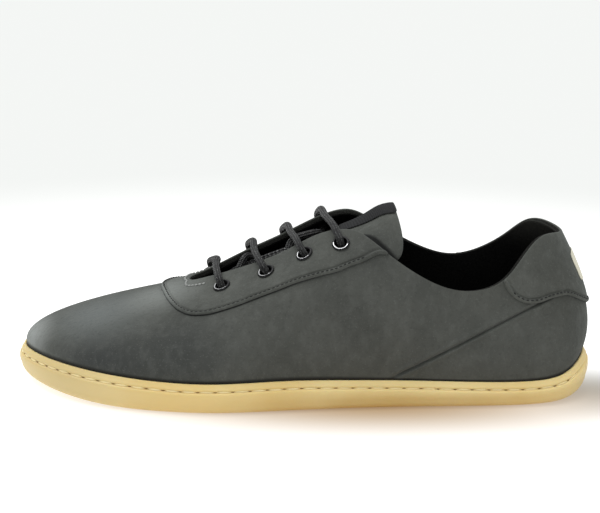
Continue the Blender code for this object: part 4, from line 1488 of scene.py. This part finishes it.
# %% Sole stitches
SOLE_PITCH = 0.0084
SOLE_STITCH = (0.0070, 0.0010, 0.0009, 0.00015)
PINHOLE_SIZE = (0.0017, 0.0007, 0.0004, 0.0)
HEEL_BARE = 0.040


def groove_path(steps=400):
    """The bottom of the sole's stitch groove, leaving the back of the heel bare."""
    out = (LEDGE + BAND_LEDGE) / 2 - GROOVE_DEPTH
    turns = np.linspace(HEEL_BARE, 1 - HEEL_BARE, steps)
    return [beside(turn, out, outline(turn).z - BAND_HEIGHT) for turn in turns]


def make_sole_stitches():
    """The threads in the groove, and small balls of painted shade for the pinholes between them."""
    spots = even_points(groove_path(), SOLE_PITCH)
    carrier = surface_tree(sole)
    thread = bmesh.new()
    sew(thread, carrier, spots, *SOLE_STITCH)
    holes = bmesh.new()
    between = [(point + SOLE_PITCH / 2 * run, run) for point, run in spots]
    sew(holes, carrier, between, *PINHOLE_SIZE)
    return make_object("sole_stitches", thread, SOLE_THREAD), make_object("sole_pinholes", holes, PINHOLE_SHADE)


for piece in make_sole_stitches():
    dress(piece, "gum_rubber")

# %% [markdown]
# ## The heel badge
# The back of the heel patch carries a small cream tab. A flat grid is laid on the leather point
# by point, so that it wraps the heel, and then gets a wall. Its rounded corners come from
# narrowing the grid towards both ends.

# %% Heel badge
BADGE_RISE = 0.700
BADGE_WIDTH = 0.019
BADGE_HEIGHT = 0.0160
BADGE_CORNER = 0.0040
BADGE_THICKNESS = 0.0004
BADGE_ROUND = 0.00015
BADGE_START = 0.002
BADGE_GRID = (14, 22)


def make_badge():
    """A flat tab with round corners, wrapped onto the heel patch."""
    bm = bmesh.new()
    bmesh.ops.create_grid(bm, x_segments=BADGE_GRID[0], y_segments=BADGE_GRID[1], size=0.5)
    point, forward, out = skin_frame(0.0, BADGE_RISE)
    up = out.cross(forward)
    carrier = surface_tree(heel_patch)
    straight = 1 - 2 * BADGE_CORNER / BADGE_HEIGHT
    for vert in bm.verts:
        x, y = 2 * vert.co.x, 2 * vert.co.y
        bend = max(0, (abs(y) - straight) / (1 - straight))
        width = BADGE_WIDTH / 2 - BADGE_CORNER * (1 - math.sqrt(max(0, 1 - bend ** 2)))
        flat = point + x * width * forward - y * BADGE_HEIGHT / 2 * up
        place, normal, _, _ = carrier.find_nearest(flat + BADGE_START * out)
        vert.co = place + LIFT * normal
    bmesh.ops.recalc_face_normals(bm, faces=bm.faces)
    bm.normal_update()
    if sum((f.normal.dot(out) for f in bm.faces)) < 0:
        bmesh.ops.reverse_faces(bm, faces=bm.faces)
    thing = make_object("heel_badge", bm, CREAM)
    add_wall(thing, BADGE_THICKNESS, 1)
    round_edges(thing, BADGE_ROUND, segments=2)
    return settle(thing)


dress(make_badge(), "nubuck")

# %% [markdown]
# ## The tongue's surface
# The tongue bridges the throat like an arch, and its sides hang down under the facings. Its table
# says, row by row from the hidden front to the free end, how deep it lies and how far it hangs.

# %% Tongue's surface
# Rows of the tongue from its hidden front end to its free top end.
# lateral turn, start ahead of the throat, hang below the edge (shares of the rise),
# sink below the facings (0 = just under the wall, 1 = lace room), arch pull / chord, trim
TONGUE_ROWS = (
    (0.462, 0.130, 0.080, 1.00, 0.35, 0.00),
    (0.450, 0.065, 0.110, 1.00, 0.35, 0.00),
    (0.435, 0.000, 0.150, 1.00, 0.35, 0.00),
    (0.410, None, 0.130, 1.00, 0.35, 0.00),
    (0.385, None, 0.150, 1.00, 0.35, 0.00),
    (0.358, None, 0.190, 1.00, 0.35, 0.00),
    (0.334, None, 0.210, 1.00, 0.35, 0.00),
    (0.312, None, 0.235, 1.00, 0.35, 0.00),
    (0.293, None, 0.250, 1.00, 0.35, 0.00),
    (0.276, None, 0.250, 1.00, 0.35, 0.00),
    (0.261, None, 0.250, 0.95, 0.38, 0.13),
    (0.247, None, 0.230, 0.60, 0.43, 0.26),
    (0.233, None, 0.195, 0.26, 0.51, 0.45),
    (0.220, None, 0.150, 0.16, 0.57, 0.64),
    (0.200, None, 0.110, 0.16, 0.63, 1.00),
)
TONGUE_ARCH_COLUMNS = 12
TONGUE_HANG_COLUMNS = 2
THROAT_ARCH = 0.35
# The end of the tongue is trimmed back at its middle and at its corners, in turns
TRIM_MIDDLE = 0.018
TRIM_CORNER = 0.042


def bridge(turn, pull, share):
    """A point on the arch that joins the two edges of the opening over the instep."""
    near = opening(turn)
    far = opening(mirror_turn(turn))
    chord = (far - near).length
    near_run = (near - skin(turn, 1 - RISE_STEP)).normalized()
    far_run = (far - skin(mirror_turn(turn), 1 - RISE_STEP)).normalized()
    points = bezier(near, near + pull * chord * near_run, far + pull * chord * far_run, far)
    along = lengths_along(points)
    return Vector([np.interp(share * along[-1], along, points[:, axis]) for axis in range(3)])


def bridge_frame(turn, pull, share):
    """The arch's point and its direction out of the shoe."""
    low = bridge(turn, pull, max(share - ARCH_STEP, 0))
    high = bridge(turn, pull, min(share + ARCH_STEP, 1))
    along = bridge(turn - TURN_STEP, pull, share) - bridge(turn + TURN_STEP, pull, share)
    return bridge(turn, pull, share), along.cross(high - low).normalized()


def tongue_corner(lane, row):
    """A corner of the tongue's outer face: lanes run from the lateral to the medial side."""
    turn, ahead, hang, sink, pull, trim = TONGUE_ROWS[row]
    half = TONGUE_ARCH_COLUMNS / 2
    beyond = max(0, abs(lane) - half) / TONGUE_HANG_COLUMNS
    across = min(max(lane / half, -1), 1)
    place = lane / (half + TONGUE_HANG_COLUMNS)
    turn += trim * (TRIM_MIDDLE * (1 - across ** 2) ** 2 + TRIM_CORNER * abs(place) ** 3)
    if ahead is not None:
        turn = TOE_TURN + place * (TOE_TURN - turn)
        point, _, out = skin_frame(turn, 1 - ahead - hang * place ** 2)
    elif beyond:
        point, _, out = skin_frame(turn if lane < 0 else mirror_turn(turn), 1 - hang * beyond)
    else:
        point, out = bridge_frame(turn, pull, (across + 1) / 2)
    return point - (WALL + CLEARANCE + sink * (LACE_ROOM - CLEARANCE)) * out


print("tongue rows:", len(TONGUE_ROWS))

# %% [markdown]
# ## The tongue
# The tongue is a pad: two covers with foam between them. A coarse sheet with a wall, smoothed by
# subdivision, gives the soft round edge of such a pad without any sculpting. Where it shows
# above the lacing it is covered in the same nubuck, and below that it is black cloth.

# %% Tongue
TONGUE_COVER_ROW = 9
PAD_LEVELS = 3


def pad_out(thing, thickness, offset, back=0):
    """Give a coarse sheet a wall and round it off. back is the step to its back's material."""
    add_wall(thing, thickness, offset).material_offset = back
    smooth = thing.modifiers.new("smooth", "SUBSURF")
    smooth.levels = PAD_LEVELS
    smooth.render_levels = PAD_LEVELS
    return settle(thing)


def make_tongue():
    """The pad, in nubuck above the lacing and in cloth below it and behind."""
    lanes = TONGUE_ARCH_COLUMNS + 2 * TONGUE_HANG_COLUMNS
    rows = len(TONGUE_ROWS) - 1

    def place(across, up):
        return tongue_corner(round(across * lanes) - lanes / 2, round(up * rows))

    bm = sheet(lanes, rows, place)
    layer = bm.loops.layers.uv["UVMap"]
    for face in bm.faces:
        height = sum(loop[layer].uv.y for loop in face.loops) / len(face.loops)
        face.material_index = 0 if height * rows > TONGUE_COVER_ROW else 1
    return pad_out(make_object("tongue_pad", bm, TONGUE_COVER, TONGUE_CLOTH), TONGUE_THICKNESS, -1, 1)


dress(make_tongue(), "nubuck", "tongue")

# %% [markdown]
# ## The ribbon
# A woven ribbon is folded over the tongue's end. It takes its corners from the tongue's own rows,
# so it follows the pad, and lies a little over it. One row more than the part's runs in under
# the lace.

# %% Ribbon
# The woven ribbon on the tongue's top: rows of the tongue from the end, half width in lanes,
# and the share by which the lanes narrow towards the end
LABEL_ROWS = 4
LABEL_COLUMNS = 2
LABEL_NARROWING = 0.4
LABEL_HIDDEN_ROWS = 1
LABEL_LIFT = 0.0001


def make_label():
    """The woven ribbon on the tongue's end."""
    last = len(TONGUE_ROWS) - 1
    rows = LABEL_ROWS + LABEL_HIDDEN_ROWS

    def place(across, up):
        row = round(up * rows) - LABEL_HIDDEN_ROWS
        lane = (2 * across - 1) * LABEL_COLUMNS * (1 - LABEL_NARROWING * row / LABEL_ROWS)
        return tongue_corner(lane, last - LABEL_ROWS + row)

    bm = sheet(2 * LABEL_COLUMNS, rows, place)
    bm.normal_update()
    for vert in bm.verts:
        vert.co += LABEL_LIFT * vert.normal
    return pad_out(make_object("tongue_ribbon", bm, RIBBON), LABEL_THICKNESS, 1)


dress(make_label(), "ribbon", "tongue_label")

# %% [markdown]
# ## The insole
# A loose footbed in black cloth over foam. Only its top shows, through the collar. It is the
# outline again, inside the upper's wall, with a rounded top edge, and it closes on the middle
# line as the sole does.

# %% Insole
INSOLE_COLUMNS = 160
INSOLE_STEPS = 4


def make_insole():
    """The footbed: its flat underside, its side, its rounded edge and its top."""
    inset = WALL_TUCK + WALL + 2 * CLEARANCE
    low = FLOOR_THICKNESS + CLEARANCE
    top = low + INSOLE_THICKNESS
    profile = [(-inset, low), (-inset, top - INSOLE_BEVEL)]
    for i in range(1, INSOLE_STEPS + 1):
        angle = math.pi / 2 * i / INSOLE_STEPS
        out = -inset - INSOLE_BEVEL * (1 - math.cos(angle))
        profile.append((out, top - INSOLE_BEVEL * (1 - math.sin(angle))))
    rows = len(profile) + 1

    def place(across, up):
        turn = even_turn(across)
        row = round(up * rows)
        if row == 0:
            return spine(turn, -inset, low)
        if row == rows:
            return spine(turn, -inset, top)
        return around(turn, *profile[row - 1])

    return make_object("insole_pad", sheet(INSOLE_COLUMNS, rows, place), INSOLE_CLOTH)


dress(make_insole(), "lining", "insole")

# %% [markdown]
# ## The lace's route
# One round waxed lace. Outside it lies in straight bars, and its diagonals cross under the
# facings. Its route is the part's own: a chain of knots that runs through the eyelets' holes and
# keeps clear of the tongue and the other stretches. Only the bars slant more than the part's,
# as a pulled lace does. The two ends are hidden behind the top eyelets.

# %% Lace's route
LACE_BEND = 0.0030
LACE_BEND_ANGLES = (35, 85)
LACE_TOP = EYELET_TOP + CLEARANCE + LACE_DIAMETER / 2
LACE_OVER = CLEARANCE + OVERLAY_THICKNESS + CLEARANCE + LACE_DIAMETER / 2
LACE_CROSSING = LACE_LOW + LACE_DIAMETER + 2 * CLEARANCE
BAR_ARCH = 0.02

# Knots of the lace's hidden diagonals: lateral turn, share across the throat, level
LACE_DIAGONALS = (
    ((0.297, 0.76, LACE_LOW), (0.311, 0.36, LACE_CROSSING), (0.318, 0.02, LACE_LOW)),
    ((0.346, 0.96, LACE_LOW), (0.353, 0.66, LACE_CROSSING), (0.364, 0.20, LACE_LOW)),
    ((0.368, 0.96, LACE_LOW), (0.353, 0.66, LACE_LOW), (0.311, 0.36, LACE_LOW),
     (0.301, 0.02, LACE_LOW)),
)

# Places of the lace's last end under the medial facing, as shares of the way to the top eyelet
LACE_END = (0.30, 0.58)

# Knots of the lace's bars: share of the lean, share across the throat, level
PULLED_BAR = ((0.58, 0.00, LACE_OVER), (0.82, 0.50, LACE_OVER), (0.94, 1.00, LACE_OVER))


def lace_corner(place, towards, level):
    """Knots of the lace's bend between the middle of a hole and the run beside it."""
    point, _, out = place
    way = towards - point
    way = (way - way.dot(out) * out).normalized()
    sign = 1 if level > 0 else -1
    knots = []
    for angle in LACE_BEND_ANGLES:
        aside = LACE_BEND * (1 - math.cos(math.radians(angle)))
        depth = level - sign * LACE_BEND * (1 - math.sin(math.radians(angle)))
        knots.append(point + aside * way + depth * out)
    return knots


def lace_knots():
    """The lace's route from its end under the top lateral eyelet to the other hidden end."""
    places = {name: place for name, *place in eyelet_places()}

    def eyelet(side, number):
        return places[f"eyelet_{side}_{number}"]

    def over(turn, share, pull, level):
        point, out = bridge_frame(turn, pull, share)
        return point + level * out

    def bar(number):
        lateral, medial, _ = EYELETS[number - 1]
        lean = mirror_turn(medial) - lateral
        knots = [over(lateral + lean * lag, share, BAR_ARCH, level) for lag, share, level in PULLED_BAR]
        near = eyelet("lateral", number)
        far = eyelet("medial", number)
        start = [near[0]] + lace_corner(near, knots[0], LACE_TOP)
        return start + knots + lace_corner(far, knots[-1], LACE_TOP)[::-1] + [far[0]]

    def diagonal(start, end, rows):
        knots = [over(turn, share, THROAT_ARCH, level) for turn, share, level in rows]
        begin = lace_corner(eyelet(*start), knots[0], LACE_LOW)
        return begin + knots + lace_corner(eyelet(*end), knots[-1], LACE_LOW)[::-1]

    def facing(share):
        _, turn, rise = (low + share * (high - low) for low, high in zip(EYELETS[2], EYELETS[3]))
        point, _, out = skin_frame(turn, rise)
        return point + LACE_LOW * out

    top_end = lace_corner(eyelet("lateral", 4), skin(EYELETS[3][0], 0.5), LACE_LOW)
    last_run = [facing(share) for share in LACE_END]
    last_end = lace_corner(eyelet("medial", 3), last_run[0], LACE_LOW) + last_run
    return (
        top_end[::-1]
        + bar(4)
        + diagonal(("medial", 4), ("lateral", 2), LACE_DIAGONALS[0])
        + bar(2)
        + diagonal(("medial", 2), ("lateral", 1), LACE_DIAGONALS[1])
        + bar(1)
        + diagonal(("medial", 1), ("lateral", 3), LACE_DIAGONALS[2])
        + bar(3)
        + last_end
    )


print("lace knots:", len(lace_knots()))

# %% [markdown]
# ## The lace
# A cord could be a curve with a bevel. Here it is a sheet rolled round a smooth path, because
# the braid's pattern needs a map that runs along the cord and round it.

# %% Lace
LACE_SIDES = 14
LACE_SMOOTHING = 6


def smooth_path(knots):
    """A curve through the knots, bending evenly between them."""
    points = []
    for i in range(len(knots) - 1):
        a, b, c, d = (knots[min(max(k, 0), len(knots) - 1)] for k in (i - 1, i, i + 1, i + 2))
        for j in range(LACE_SMOOTHING):
            t = j / LACE_SMOOTHING
            points.append(0.5 * (2 * b + (c - a) * t + (2 * a - 5 * b + 4 * c - d) * t ** 2
                                 + (3 * b - a - 3 * c + d) * t ** 3))
    return points + [knots[-1]]


def make_tube(name, path, radius, surface):
    """A round tube along a path. Its UV map runs along the tube and round it."""
    last = len(path) - 1
    spans = [(path[max(i - 1, 0)], path[min(i + 1, last)]) for i in range(last + 1)]
    tangents = [(after - before).normalized() for before, after in spans]
    side = tangents[0].orthogonal().normalized()
    sides = []
    for run in tangents:
        side = (side - side.dot(run) * run).normalized()
        sides.append(side)

    def place(across, up):
        i = round(across * last)
        angle = 2 * math.pi * up
        other = tangents[i].cross(sides[i])
        return path[i] + radius * (math.cos(angle) * sides[i] + math.sin(angle) * other)

    bm = sheet(last, LACE_SIDES, place)
    bmesh.ops.holes_fill(bm, edges=[e for e in bm.edges if e.is_boundary], sides=LACE_SIDES)
    bmesh.ops.recalc_face_normals(bm, faces=bm.faces)
    return make_object(name, bm, surface)


lace_path = smooth_path(lace_knots())
dress(make_tube("waxed_lace", lace_path, LACE_DIAMETER / 2, LACE_BRAID), "lace_cotton", "lace")
lace_length = sum((b - a).length for a, b in zip(lace_path, lace_path[1:]))
print("lace length", round(lace_length, 3), "m")

# %% [markdown]
# ## The floor
# The shoe stands on a white table top that glows, a painted light, so there is hardly any dark line where it
# touches.
# It carries a painted soft shadow beyond the heel and a painted warm light next to the gum rubber, and its
# colour falls a little with distance, where the table meets a pale backdrop.

# %% Floor
FLOOR_RADIUS = 2.2
FLOOR_WHITE = (0.55, 0.55, 0.547)
FLOOR_FAR = (0.352, 0.358, 0.352)
FLOOR_BOUNCE_TINT = (0.225, 0.160, 0.094)
FLOOR_SHADE = (0.185, 0.185, 0.176)
FLOOR_GLOW = 0.75
FADE_START = 0.20
FADE_END = 0.54
# Places of the shade beyond the heel and of the rubber's warm light: centre, size, share
SHADE_PATCH = ((0.150, -0.010, 0), (0.055, 0.060, 1), 0.9)
WARM_PATCH = ((0.035, -0.035, 0), (0.190, 0.074, 1), 1.0)


def make_floor():
    """A round table top, far wider than the picture."""
    made, shader, nodes, links = surface_material("light_table", FLOOR_WHITE, 0.9)
    shader.inputs["Specular IOR Level"].default_value = 0.0
    place = nodes.new("ShaderNodeTexCoord")
    far = nodes.new("ShaderNodeVectorMath")
    far.operation = "LENGTH"
    links.new(place.outputs["Object"], far.inputs[0])
    fade = spread(nodes, links, far.outputs["Value"], FADE_START, FADE_END)
    colour = blend(nodes, links, fade, FLOOR_WHITE, FLOOR_FAR)
    # painted shadow beyond the heel and painted warm light bounced from the rubber
    for patch, tone in ((SHADE_PATCH, FLOOR_SHADE), (WARM_PATCH, FLOOR_BOUNCE_TINT)):
        colour = blend(nodes, links, near_point(nodes, links, *patch), colour, tone)
    links.new(colour, shader.inputs["Base Color"])
    # painted light: the table glows in the same colours, so it stays white where the shoe's shadow would
    # fall
    links.new(colour, shader.inputs["Emission Color"])
    shader.inputs["Emission Strength"].default_value = FLOOR_GLOW / FLOOR_WHITE[0]
    bm = bmesh.new()
    bmesh.ops.create_circle(bm, cap_ends=True, segments=64, radius=FLOOR_RADIUS)
    return make_object("table_top", bm, made)


make_floor()
